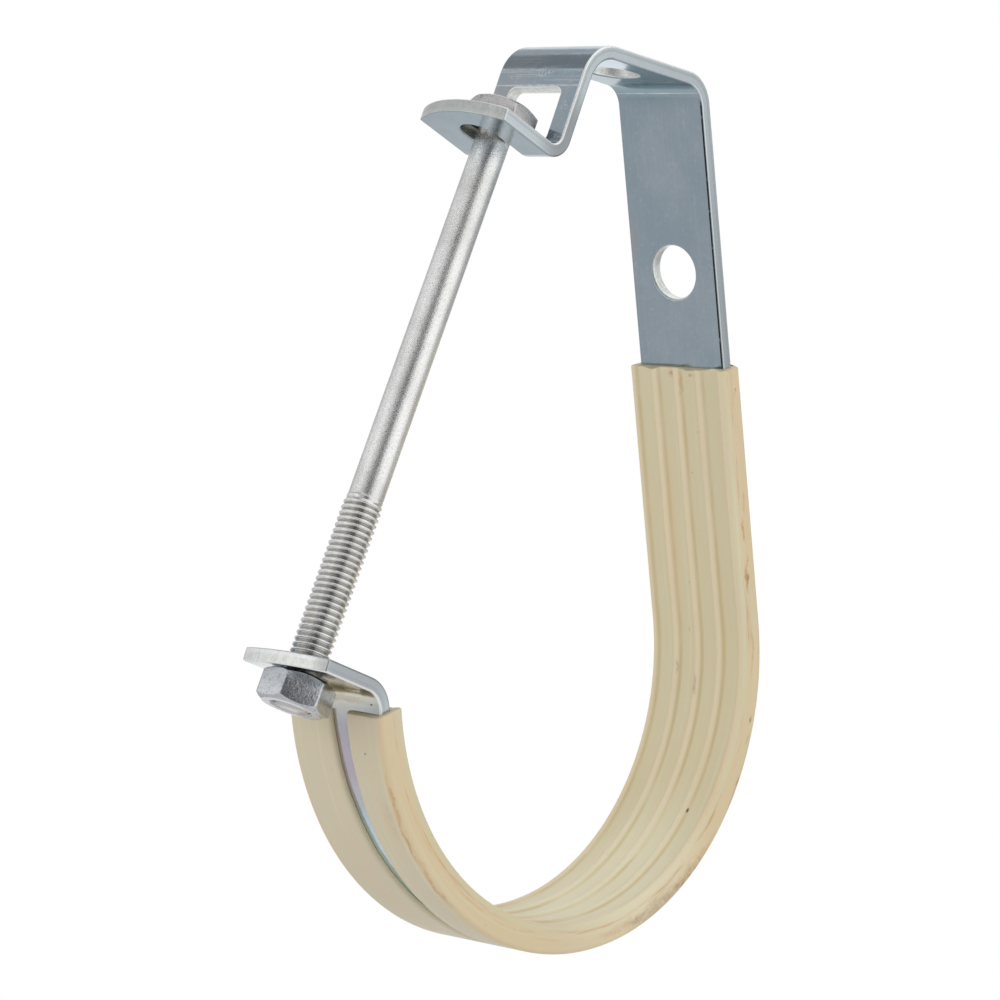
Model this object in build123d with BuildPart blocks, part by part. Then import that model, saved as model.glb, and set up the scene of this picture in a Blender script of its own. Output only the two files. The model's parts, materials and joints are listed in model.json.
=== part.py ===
from build123d import *
import os
from math import asin, atan2, cos, degrees, radians, sin, sqrt, tan

# J pipe hanger: a steel strip folded into a J, a plastic liner wrapped round its
# curve, and a long bolt with a nut that closes the mouth of the J.
# The origin is on the rod hole's axis, at the underside of the level top plate.
# X runs towards the back leg, Y along the pipe and Z up the rod.
# Lengths along the strip are taken on the middle of its thickness.

# Steel strip
strip_width = 23.0
strip_thickness = 2.8

# Top plate and the rod hole in it
rod_to_back_corner = 16.2
rod_to_front_corner = 18.4
rod_hole_diameter = 11.5
back_corner_radius = 6.5
front_corner_radius = 8.3

# Back leg
leg_angle = 19.3
leg_length = 116.3
side_hole_diameter = 11.5
side_hole_from_corner = 40.2

# Curve that carries the pipe: a quarter turn behind, then a wider one to the front
back_curve_angle = 90.0
back_curve_radius = 52.5
front_curve_angle = 94.0
front_curve_radius = 58.5

# Front leg
front_leg_angle = 14.9
front_leg_length = 24.5
ear_corner_radius = 3.8

# Keyhole: a window in the front leg that the bolt head passes through, and a
# narrower slot that goes on through the bend and along the upper ear
window_width = 13.9
window_from_front_corner = 9.8
window_above_ear_corner = 1.7
window_upper_radius = 1.5
window_lower_radius = 3.2
slot_width = 8.3
slot_beyond_bolt = 8.0

# Ears, with an arc across their ends: the upper one is square to the bolt
ear_corner_to_bolt = 8.3
upper_tip_beyond_bolt = 13.8
upper_tip_radius = 19.0
lower_bend_radius = 6.2
lower_bend_angle = 63.2
lower_bend_to_hole = 7.05
lower_tip_beyond_hole = 7.4
lower_tip_radius = 38.0
lower_hole_diameter = 9.0

# Liner wrapped round the strip
liner_clearance = 0.05
liner_floor = 1.6
liner_side = 1.15
liner_flap = 1.2
liner_from_back_corner = 60.2
liner_to_lower_bend = 1.05
rib_count = 3
rib_distance = 6.0
rib_width = 1.8
rib_height = 0.55
lip_width = 1.5
seam_width = 1.1
seam_offset = -2.4
seam_mouth_width = 4.5
seam_mouth_offset = 0.7
seam_mouth_angle = 51.0

# Bolt with a hexagon head, and its nut
shank_diameter = 7.1
thread_diameter = 7.9
thread_length = 42.5
thread_end_chamfer = 0.8
hexagon_across_flats = 13.0
hexagon_chamfer = 1.5
hexagon_chamfer_angle = 30.0
head_height = 5.3
head_turn_angle = 1.6
washer_face_diameter = 12.2
washer_face_height = 0.5
nut_height = 6.5
nut_turn_angle = 22.4
nut_clearance = 0.02
nut_bore_clearance = 0.05
nut_bore_chamfer = 0.5


def heading(angle):
    """Unit vector in the side view, an angle in degrees up from the X axis."""
    return Vector(cos(radians(angle)), sin(radians(angle)))


def strip_plane(point, along, out):
    """Plane at a side view point, by the strip's direction and the side it faces."""
    return Plane(
        origin=(point.X, 0, point.Y),
        x_dir=(along.X, 0, along.Y),
        z_dir=(out.X, 0, out.Y),
    )


# Top plate, back leg and front leg in the side view
half_thickness = strip_thickness / 2
half_width = strip_width / 2
cut_depth = strip_thickness + half_thickness
leg_down = heading(leg_angle - 90)
leg_out = heading(leg_angle)
front_leg_down = heading(-90 - front_leg_angle)
front_leg_out = heading(180 - front_leg_angle)
back_corner = Vector(rod_to_back_corner, half_thickness)
front_corner = Vector(-rod_to_front_corner, half_thickness)
ear_corner = front_corner + front_leg_down * front_leg_length

# The curve goes on from the back leg, first round its back centre and then round
# its front centre, which lies on the line from the first one to where they meet
curve_start = back_corner + leg_down * leg_length
back_centre = curve_start - leg_out * back_curve_radius
back_curve_end = leg_angle - back_curve_angle
curve_joint = heading(back_curve_end)
front_centre = back_centre + curve_joint * (back_curve_radius - front_curve_radius)
front_curve_end = back_curve_end - front_curve_angle

# The lower bend touches the curve from outside and leads into the lower ear
bend_centre = front_centre + heading(front_curve_end) * (front_curve_radius + lower_bend_radius)
lower_bend_end = front_curve_end + 180 + lower_bend_angle
lower_ear_up = heading(lower_bend_end)
lower_ear_out = heading(lower_bend_end + 90)
lower_ear_start = bend_centre + lower_ear_up * lower_bend_radius
bolt_at_lower_ear = lower_ear_start + lower_ear_out * lower_bend_to_hole
lower_ear_end = bolt_at_lower_ear + lower_ear_out * lower_tip_beyond_hole

# The bolt leans so that it goes from the lower ear's hole past the upper ear's
# corner at the distance given, as one side of a right triangle
corner_from_hole = ear_corner - bolt_at_lower_ear
bolt_run = sqrt(corner_from_hole.length**2 - ear_corner_to_bolt**2)
bolt_turn = asin(ear_corner_to_bolt / corner_from_hole.length)
bolt_angle = degrees(atan2(corner_from_hole.Y, corner_from_hole.X) + bolt_turn)
bolt_up = heading(bolt_angle)
upper_ear_out = heading(bolt_angle + 90)
bolt_at_upper_ear = ear_corner + upper_ear_out * ear_corner_to_bolt
upper_ear_end = bolt_at_upper_ear + upper_ear_out * upper_tip_beyond_bolt

# The lower ear is skewed to the bolt, so the rim of the nut's face meets it first
ear_skew = radians(abs(lower_bend_end - bolt_angle))
hexagon_corner_radius = hexagon_across_flats / 2 / cos(radians(30))
nut_face_radius = hexagon_corner_radius - hexagon_chamfer
nut_below_ear = half_thickness / cos(ear_skew) + nut_face_radius * tan(ear_skew) + nut_clearance
bolt_grip = half_thickness + bolt_run + nut_below_ear

# Planes on the middle of the strip, each with its Y axis across the strip
plate_plane = Plane.XY.offset(half_thickness)
leg_plane = strip_plane(back_corner, leg_down, leg_out)
front_leg_plane = strip_plane(front_corner, front_leg_down, front_leg_out)
upper_ear_plane = strip_plane(bolt_at_upper_ear, upper_ear_out, bolt_up)
lower_ear_plane = strip_plane(bolt_at_lower_ear, lower_ear_out, lower_ear_up)


def trim_to_tip(plane, tip_from_bolt, tip_radius):
    """Trim the strip's end on an ear's plane to an arc that bulges outwards."""
    with BuildSketch(plane) as beyond_tip:
        with Locations((tip_from_bolt, 0)):
            Rectangle(strip_width, 2 * strip_width)
        with Locations((tip_from_bolt - tip_radius, 0)):
            Circle(tip_radius, mode=Mode.SUBTRACT)
    extrude(beyond_tip.sketch, amount=strip_thickness, both=True, mode=Mode.SUBTRACT)


def cut_round_hole(plane, from_origin, diameter):
    """Cut a round hole through the strip, on its middle line."""
    with BuildSketch(plane) as hole:
        with Locations((from_origin, 0)):
            Circle(diameter / 2)
    extrude(hole.sketch, amount=strip_thickness, both=True, mode=Mode.SUBTRACT)


# Hanger strap: one strip, folded at four bends and rolled into the J
with BuildPart() as hanger_strap:
    with BuildSketch(Plane.XZ):
        with BuildLine():
            FilletPolyline(
                curve_start,
                back_corner,
                front_corner,
                ear_corner,
                upper_ear_end,
                radius=[back_corner_radius, front_corner_radius, ear_corner_radius],
            )
            CenterArc(back_centre, back_curve_radius, leg_angle, -back_curve_angle)
            CenterArc(front_centre, front_curve_radius, back_curve_end, -front_curve_angle)
            CenterArc(bend_centre, lower_bend_radius, front_curve_end + 180, lower_bend_angle)
            Line(lower_ear_start, lower_ear_end)
        trace(line_width=strip_thickness)
    extrude(amount=half_width, both=True)

    trim_to_tip(upper_ear_plane, upper_tip_beyond_bolt, upper_tip_radius)
    trim_to_tip(lower_ear_plane, lower_tip_beyond_hole, lower_tip_radius)
    cut_round_hole(plate_plane, 0, rod_hole_diameter)
    cut_round_hole(leg_plane, side_hole_from_corner, side_hole_diameter)
    cut_round_hole(lower_ear_plane, 0, lower_hole_diameter)

    # The window is cut square to the front leg, deep enough to take the bend's inside
    window_end = front_leg_length - window_above_ear_corner
    window_middle = (window_from_front_corner + window_end) / 2
    with BuildSketch(front_leg_plane) as window:
        with Locations((window_middle, 0)):
            Rectangle(window_end - window_from_front_corner, window_width)
        corners = window.vertices().group_by(Axis.X)
        fillet(corners[0], window_upper_radius)
        fillet(corners[-1], window_lower_radius)
    extrude(amount=cut_depth, both=True, mode=Mode.SUBTRACT)

    # The slot runs from the window's middle through the bend to its round end
    slot_centre_beyond_bolt = slot_beyond_bolt - slot_width / 2
    with BuildSketch(Plane.XZ):
        with BuildLine():
            Polyline(
                front_corner + front_leg_down * window_middle,
                ear_corner,
                bolt_at_upper_ear + upper_ear_out * slot_centre_beyond_bolt,
            )
        trace(line_width=2 * cut_depth)
    extrude(amount=slot_width / 2, both=True, mode=Mode.SUBTRACT)
    cut_round_hole(upper_ear_plane, slot_centre_beyond_bolt, slot_width)
hanger_strap.part.label = "hanger_strap"

# Pipe liner: one moulded strip, wrapped round the steel from below the side hole
# to just short of the lower bend, with its seam on the outside
liner_top = back_corner + leg_down * liner_from_back_corner
liner_front_end = front_curve_end + degrees(liner_to_lower_bend / front_curve_radius)
cavity_half_width = half_width + liner_clearance
cavity_half_height = half_thickness + liner_clearance
liner_width = 2 * (cavity_half_width + liner_side)
flap_middle_radius = front_curve_radius + cavity_half_height + liner_flap / 2
with BuildLine() as liner_line:
    Line(liner_top, curve_start)
    CenterArc(back_centre, back_curve_radius, leg_angle, -back_curve_angle)
    CenterArc(front_centre, front_curve_radius, back_curve_end, liner_front_end - back_curve_end)

with BuildPart() as pipe_liner:
    with BuildSketch(strip_plane(liner_top, leg_out, leg_down)):
        # Outline of the liner, its X axis towards the outside of the J
        with Locations(((liner_flap - liner_floor) / 2, 0)):
            Rectangle(liner_floor + 2 * cavity_half_height + liner_flap, liner_width)
        # Ribs and edge lips on the face that holds the pipe
        with Locations((-cavity_half_height - liner_floor - rib_height / 2, 0)):
            with GridLocations(0, rib_distance, 1, rib_count):
                Rectangle(rib_height, rib_width)
            with GridLocations(0, liner_width - lip_width, 1, 2):
                Rectangle(rib_height, lip_width)
        # Room for the steel, and the seam between the two flaps
        Rectangle(2 * cavity_half_height, 2 * cavity_half_width, mode=Mode.SUBTRACT)
        with Locations((cavity_half_height + liner_flap / 2, -seam_offset)):
            Rectangle(liner_flap, seam_width, mode=Mode.SUBTRACT)
    sweep(path=Plane.XZ * liner_line.wires()[0])

    # Towards the liner's front end its flaps stand apart, so the seam opens in a wedge
    mouth_out = heading(liner_front_end)
    mouth_end_out = heading(liner_front_end + seam_mouth_angle)
    with BuildLine() as seam_mouth:
        CenterArc(front_centre, flap_middle_radius, liner_front_end, seam_mouth_angle)
    seam_arc = Plane.XZ * seam_mouth.wires()[0]
    with BuildSketch(strip_plane(seam_mouth.line @ 0, mouth_out, seam_mouth.line % 0)):
        with Locations((0, seam_mouth_offset)):
            Rectangle(liner_flap, seam_mouth_width)
    with BuildSketch(strip_plane(seam_mouth.line @ 1, mouth_end_out, seam_mouth.line % 1)):
        with Locations((0, seam_offset)):
            Rectangle(liner_flap, seam_width)
    sweep(path=seam_arc, multisection=True, mode=Mode.SUBTRACT)
pipe_liner.part.label = "pipe_liner"


def chamfered_hexagon(plane, height, turn, ends):
    """Hexagon prism from a plane, its corners turned away at the ends given."""
    with BuildSketch(plane) as around:
        Circle(hexagon_corner_radius)
    extrude(around.sketch, amount=height)
    for end in ends:
        face = faces().sort_by(Axis(plane.origin, plane.z_dir))[end]
        chamfer(face.edges(), length=hexagon_chamfer, angle=hexagon_chamfer_angle, reference=face)
    with BuildSketch(plane) as outline:
        RegularPolygon(hexagon_corner_radius, side_count=6, rotation=turn)
    extrude(outline.sketch, amount=height, mode=Mode.INTERSECT)


# Clamp bolt: its head sits on the upper ear and its end is flush with the nut
bolt_length = bolt_grip + nut_height
head_plane = upper_ear_plane.offset(half_thickness)
end_plane = head_plane.offset(-bolt_length)
with BuildPart() as clamp_bolt:
    chamfered_hexagon(
        head_plane.offset(washer_face_height), head_height - washer_face_height, head_turn_angle, [-1]
    )
    with BuildSketch(head_plane):
        Circle(washer_face_diameter / 2)
    extrude(amount=washer_face_height)
    with BuildSketch(head_plane):
        Circle(shank_diameter / 2)
    extrude(amount=-bolt_length)
    with BuildSketch(end_plane):
        Circle(thread_diameter / 2)
    extrude(amount=thread_length)
    chamfer(faces().sort_by(Axis(end_plane.origin, head_plane.z_dir))[0].edges(), thread_end_chamfer)
clamp_bolt.part.label = "clamp_bolt"

# Hexagon nut below the lower ear, chamfered at both ends
with BuildPart() as hex_nut:
    chamfered_hexagon(end_plane, nut_height, nut_turn_angle, [0, -1])
    with BuildSketch(end_plane):
        Circle(thread_diameter / 2 + nut_bore_clearance)
    extrude(amount=nut_height, mode=Mode.SUBTRACT)
    bore_edges = edges().filter_by(GeomType.CIRCLE).group_by(SortBy.RADIUS)[0]
    chamfer(bore_edges, nut_bore_chamfer)
hex_nut.part.label = "hex_nut"

os.makedirs("parts", exist_ok=True)
for piece in (hanger_strap, pipe_liner, clamp_bolt, hex_nut):
    export_step(piece.part, f"parts/{piece.part.label}.step")
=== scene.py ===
"""Looks of the J pipe hanger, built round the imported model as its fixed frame.

The strap is made as the flat strip it is stamped from, and then folded along the strip line.
The liner is a section carried along the same line. The bolt and the nut are turned surfaces.
Blender works in metres; the sizes of the pieces below are in millimetres, as in the model.
"""

import json
import logging
from collections.abc import Callable
from dataclasses import dataclass, field
from enum import Enum
from functools import cached_property
from math import atan2, cos, degrees, pi, radians, sin, tan

import bpy
import numpy as np
from mathutils import Matrix, Vector
from mathutils.geometry import delaunay_2d_cdt


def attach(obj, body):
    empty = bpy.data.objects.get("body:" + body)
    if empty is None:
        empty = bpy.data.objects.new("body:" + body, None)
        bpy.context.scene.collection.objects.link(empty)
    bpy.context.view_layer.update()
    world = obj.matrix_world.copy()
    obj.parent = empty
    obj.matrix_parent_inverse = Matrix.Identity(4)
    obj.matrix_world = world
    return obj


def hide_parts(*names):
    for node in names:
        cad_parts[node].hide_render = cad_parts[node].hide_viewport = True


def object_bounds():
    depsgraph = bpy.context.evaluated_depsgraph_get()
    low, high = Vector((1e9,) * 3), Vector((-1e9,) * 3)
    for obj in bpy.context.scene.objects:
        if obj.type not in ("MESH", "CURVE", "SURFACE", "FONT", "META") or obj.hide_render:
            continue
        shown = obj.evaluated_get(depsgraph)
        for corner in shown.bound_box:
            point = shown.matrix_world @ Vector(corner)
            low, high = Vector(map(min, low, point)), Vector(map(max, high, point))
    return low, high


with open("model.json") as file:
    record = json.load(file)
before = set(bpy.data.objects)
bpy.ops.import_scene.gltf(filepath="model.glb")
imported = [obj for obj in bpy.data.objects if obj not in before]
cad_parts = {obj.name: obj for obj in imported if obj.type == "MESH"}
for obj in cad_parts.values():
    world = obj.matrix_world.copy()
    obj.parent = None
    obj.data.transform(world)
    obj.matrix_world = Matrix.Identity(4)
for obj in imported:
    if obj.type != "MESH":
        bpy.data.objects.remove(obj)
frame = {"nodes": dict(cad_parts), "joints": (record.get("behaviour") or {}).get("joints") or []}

CAD_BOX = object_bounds()
MM = 0.001
Array = np.ndarray
Socket = bpy.types.NodeSocket
Colour = tuple[float, float, float, float]
Value = Socket | tuple[float, ...] | float
Inputs = dict[str | int, Value]
log = logging.getLogger("hanger")


class Slot(Enum):
    """Material slots of the record."""

    STRIP = "zinc_strip"
    LINER = "liner"
    BOLT = "zinc_bolt"
    NUT = "zinc_nut"


class Body(Enum):
    """Bodies that the pieces ride on."""

    HANGER = "hanger"
    BOLT = "bolt"
    NUT = "nut"


class End(Enum):
    """Which end of a hexagon is chamfered."""

    TOP = "top"
    BOTH = "both"


@dataclass(frozen=True)
class Run:
    """One run of the strip line: straight when turn is zero, or an arc (degrees, left is positive)."""

    length: float
    turn: float = 0.0

    @classmethod
    def arc(cls, radius: float, turn: float) -> "Run":
        """An arc by its radius and the angle it turns through."""
        return cls(radius * radians(abs(turn)), turn)


class StripLine:
    """Middle line of the strip in the side view, as a function of the length along it."""

    def __init__(self, runs: list[Run], start_heading: float, at: float) -> None:
        """Lay the runs end to end, and move them so that the point `at` lies on the Z axis.

        Args:
            runs: straight runs and arcs, in order.
            start_heading: direction of the first run, in degrees above the X axis.
            at: length along the line, where the rod hole's axis crosses it.
        """
        lengths = np.array([run.length for run in runs])
        turns = np.radians([run.turn for run in runs])
        self.starts = np.concatenate(([0.0], np.cumsum(lengths)))
        self.curvature = turns / lengths
        self.headings = radians(start_heading) + np.concatenate(([0.0], np.cumsum(turns)))
        self.corners = np.zeros((len(runs), 2))
        for number in range(1, len(runs)):
            self.corners[number] = self._beyond(number - 1, lengths[number - 1])
        shift = np.array([0.0, StrapSizes.thickness / 2])
        self.corners += shift - self.point(np.array(at))

    @property
    def length(self) -> float:
        """Length of the whole line."""
        return float(self.starts[-1])

    def _beyond(self, run: int | Array, along: float | Array) -> Array:
        """Point at a length along one run: the run's own circle, or its straight when it has no turn."""
        bend = self.curvature[run]
        angle = self.headings[run]
        half = bend * along / 2
        chord = along * np.sinc(half / pi)
        x = self.corners[run][..., 0] + chord * np.cos(angle + half)
        z = self.corners[run][..., 1] + chord * np.sin(angle + half)
        return np.stack((x, z), axis=-1)

    def _run_at(self, s: Array) -> Array:
        """Number of the run that holds each length s."""
        return np.clip(np.searchsorted(self.starts, s, side="right") - 1, 0, len(self.curvature) - 1)

    def point(self, s: Array) -> Array:
        """Points (x, z) of the line at the lengths s."""
        run = self._run_at(s)
        return self._beyond(run, s - self.starts[run])

    def heading(self, s: Array) -> Array:
        """Direction of the line at the lengths s, in radians above the X axis."""
        run = self._run_at(s)
        return self.headings[run] + self.curvature[run] * (s - self.starts[run])

    def stations(self, first: float, last: float, chord: float, turn: float) -> Array:
        """Lengths that cut the line into straight steps and smaller steps in the arcs.

        Args:
            first: length where the stations start.
            last: length where they end.
            chord: longest step, on a straight run.
            turn: most degrees that one step turns through in an arc.

        Returns:
            The lengths, first and last included.
        """
        found = [np.array([first, last])]
        for number, bend in enumerate(self.curvature):
            start, end = self.starts[number], self.starts[number + 1]
            step = min(chord, radians(turn) / abs(bend)) if bend else chord
            found.append(np.linspace(start, end, max(2, int(np.ceil((end - start) / step)) + 1)))
        joined = np.unique(np.round(np.concatenate(found), 6))
        return joined[(joined >= first) & (joined <= last)]

    def fold(self, s: Array, y: Array, n: Array) -> Array:
        """Points of the folded strip: the line's point, plus n along its left normal, with y kept."""
        angle = self.heading(s)
        middle = self.point(s)
        x = middle[..., 0] - n * np.sin(angle)
        z = middle[..., 1] + n * np.cos(angle)
        return np.stack((x, y, z), axis=-1)

    def fold_direction(self, s: Array, direction: Array) -> Array:
        """Directions of the flat strip (along, across, out) turned with the fold at the lengths s."""
        angle = self.heading(s)
        along, across, out = direction[..., 0], direction[..., 1], direction[..., 2]
        x = along * np.cos(angle) - out * np.sin(angle)
        z = along * np.sin(angle) + out * np.cos(angle)
        return np.stack((x, across, z), axis=-1)


def linked(name: str, data: bpy.types.ID) -> bpy.types.Object:
    """Make an object of some data, at the origin, and link it to the scene."""
    made = bpy.data.objects.new(name, data)
    bpy.context.scene.collection.objects.link(made)
    return made


def waves(at: Array, parts: tuple[tuple[float, float, float], ...]) -> Array:
    """Sum of sines along a length: each by its height, its radians to the millimetre and its start."""
    return sum(height * np.sin(at * pace + start) for height, pace, start in parts)


def closed_normals(loop: Array) -> Array:
    """Unit normals of a closed outline, on its right hand: the chord between neighbours, turned."""
    chord = np.roll(loop, -1, axis=0) - np.roll(loop, 1, axis=0)
    normal = np.stack((chord[:, 1], -chord[:, 0]), axis=-1)
    return normal / np.linalg.norm(normal, axis=-1, keepdims=True)


def inside(points: Array, loop: Array) -> Array:
    """Whether each point is inside a closed outline: a ray from it crosses it an odd number of times."""
    start, end = loop, np.roll(loop, -1, axis=0)
    px, py = points[:, 0, None], points[:, 1, None]
    spans = (start[:, 1] > py) != (end[:, 1] > py)
    rise = np.where(end[:, 1] == start[:, 1], 1.0, end[:, 1] - start[:, 1])
    crossing = start[:, 0] + (py - start[:, 1]) * (end[:, 0] - start[:, 0]) / rise
    return (spans & (px < crossing)).sum(axis=1) % 2 == 1


def rounded_outline(points: Array, radii: Array, step: float) -> Array:
    """Closed outline with its corners rounded.

    Each corner becomes an arc of its radius, which touches both sides, and the whole is cut
    into even steps between the arcs.

    Args:
        points: corners in order, one row each.
        radii: radius at each corner.
        step: longest step along the outline.

    Returns:
        Points of the outline, the first not repeated at the end.
    """
    parts = []
    count = len(points)
    for number in range(count):
        corner = points[number]
        before = points[number - 1] - corner
        after = points[(number + 1) % count] - corner
        before = before / np.linalg.norm(before)
        after = after / np.linalg.norm(after)
        half = np.arccos(np.clip(before @ after, -1, 1)) / 2
        bisector = (before + after) / np.linalg.norm(before + after)
        centre = corner + bisector * radii[number] / sin(half)
        first = corner + before * radii[number] / tan(half) - centre
        last = corner + after * radii[number] / tan(half) - centre
        sweep = atan2(first[0] * last[1] - first[1] * last[0], first @ last)
        by_length = int(np.ceil(abs(sweep) * radii[number] / step)) + 1
        steps = max(3, by_length, int(abs(degrees(sweep)) / 12) + 2)
        turn = np.linspace(0, sweep, steps)
        x = centre[0] + first[0] * np.cos(turn) - first[1] * np.sin(turn)
        y = centre[1] + first[0] * np.sin(turn) + first[1] * np.cos(turn)
        parts.append(np.stack((x, y), axis=-1))
    rough = np.concatenate(parts)
    ahead = np.roll(rough, -1, axis=0)
    counts = np.maximum(1, np.ceil(np.linalg.norm(ahead - rough, axis=1) / step).astype(int))
    side = np.repeat(np.arange(len(rough)), counts)
    share = (np.arange(len(side)) - np.repeat(np.cumsum(counts) - counts, counts)) / counts[side]
    return rough[side] + share[:, None] * (ahead[side] - rough[side])


def circle_outline(centre: float, radius: float, steps: int) -> Array:
    """Circle in the flat strip, centred on its middle line."""
    turn = np.linspace(0, 2 * pi, steps, endpoint=False)
    return np.stack((centre + radius * np.cos(turn), radius * np.sin(turn)), axis=-1)


def ring_faces(rows: int, columns: int, closed_rows: bool = False) -> Array:
    """Quads between the rows of a grid whose columns close on themselves.

    Args:
        rows: number of rows.
        columns: number of points in a row.
        closed_rows: whether the last row joins the first one.

    Returns:
        Four point numbers for each quad.
    """
    row = np.arange(rows if closed_rows else rows - 1)[:, None]
    column = np.arange(columns)[None, :]
    after = (column + 1) % columns
    below = (row + 1) % rows
    upper, lower = row * columns, below * columns
    quads = (upper + column, upper + after, lower + after, lower + column)
    return np.stack(quads, axis=-1).reshape(-1, 4)


@dataclass
class Surface:
    """Points, faces and what goes with them, gathered before they become a mesh."""

    points: Array
    faces: list
    normals: Array | None = None
    uv: Array | None = None
    marks: dict[str, Array] = field(default_factory=dict)
    sharp_angle: float = 0.0

    def to_object(self, name: str) -> bpy.types.Object:
        """Make the mesh object, with its normals, UV map and attributes, in metres.

        Args:
            name: the piece's name.

        Returns:
            The new object, linked to the scene, at the origin.
        """
        mesh = bpy.data.meshes.new(name)
        faces = [list(map(int, face)) for face in self.faces]
        mesh.from_pydata((self.points * MM).tolist(), [], faces)
        mesh.update()
        mesh.shade_smooth()
        if self.uv is not None:
            corners = np.zeros(len(mesh.loops), dtype=np.int32)
            mesh.loops.foreach_get("vertex_index", corners)
            layer = mesh.uv_layers.new(name="strip")
            layer.data.foreach_set("uv", (self.uv[corners] * MM).astype(np.float32).ravel())
        for mark, values in self.marks.items():
            attribute = mesh.attributes.new(mark, "FLOAT", "POINT")
            attribute.data.foreach_set("value", values.astype(np.float32))
        if self.normals is not None:
            mesh.normals_split_custom_set_from_vertices(self.normals.tolist())
        if self.sharp_angle:
            mesh.set_sharp_from_angle(angle=radians(self.sharp_angle))
        return linked(name, mesh)


def place(made: bpy.types.Object, body: Body, slot: Slot, node: str, finish: bpy.types.Material) -> None:
    """Give a piece its finish and its body, and let it stand for its node."""
    made.data.materials.append(finish)
    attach(made, body.value)
    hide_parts(node)
    log.info("%s: %d faces on %s", made.name, len(made.data.polygons), body.value)


@dataclass(frozen=True)
class Spot:
    """A mark on a piece's own map: its middle, its half sizes in millimetres and its strength."""

    along: float
    across: float
    length: float
    width: float
    strength: float


@dataclass(frozen=True)
class Mottle:
    """A noise at a scale per metre, and the ramp that turns it into a share."""

    scale: float
    detail: float
    low: float
    high: float
    start: float = 0.0
    end: float = 1.0
    rough: float = 0.55
    stretch: tuple[float, float, float] | None = None


@dataclass(frozen=True)
class Relief:
    """A noise that lifts the surface: its own numbers, and its strength and depth in metres."""

    scale: float
    detail: float
    rough: float
    strength: float
    depth: float


class Mixed(Enum):
    """What a mix node mixes: its type, the number of its first value's socket and of its output."""

    COLOUR = ("RGBA", 6, 2)
    NUMBER = ("FLOAT", 2, 0)


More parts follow.
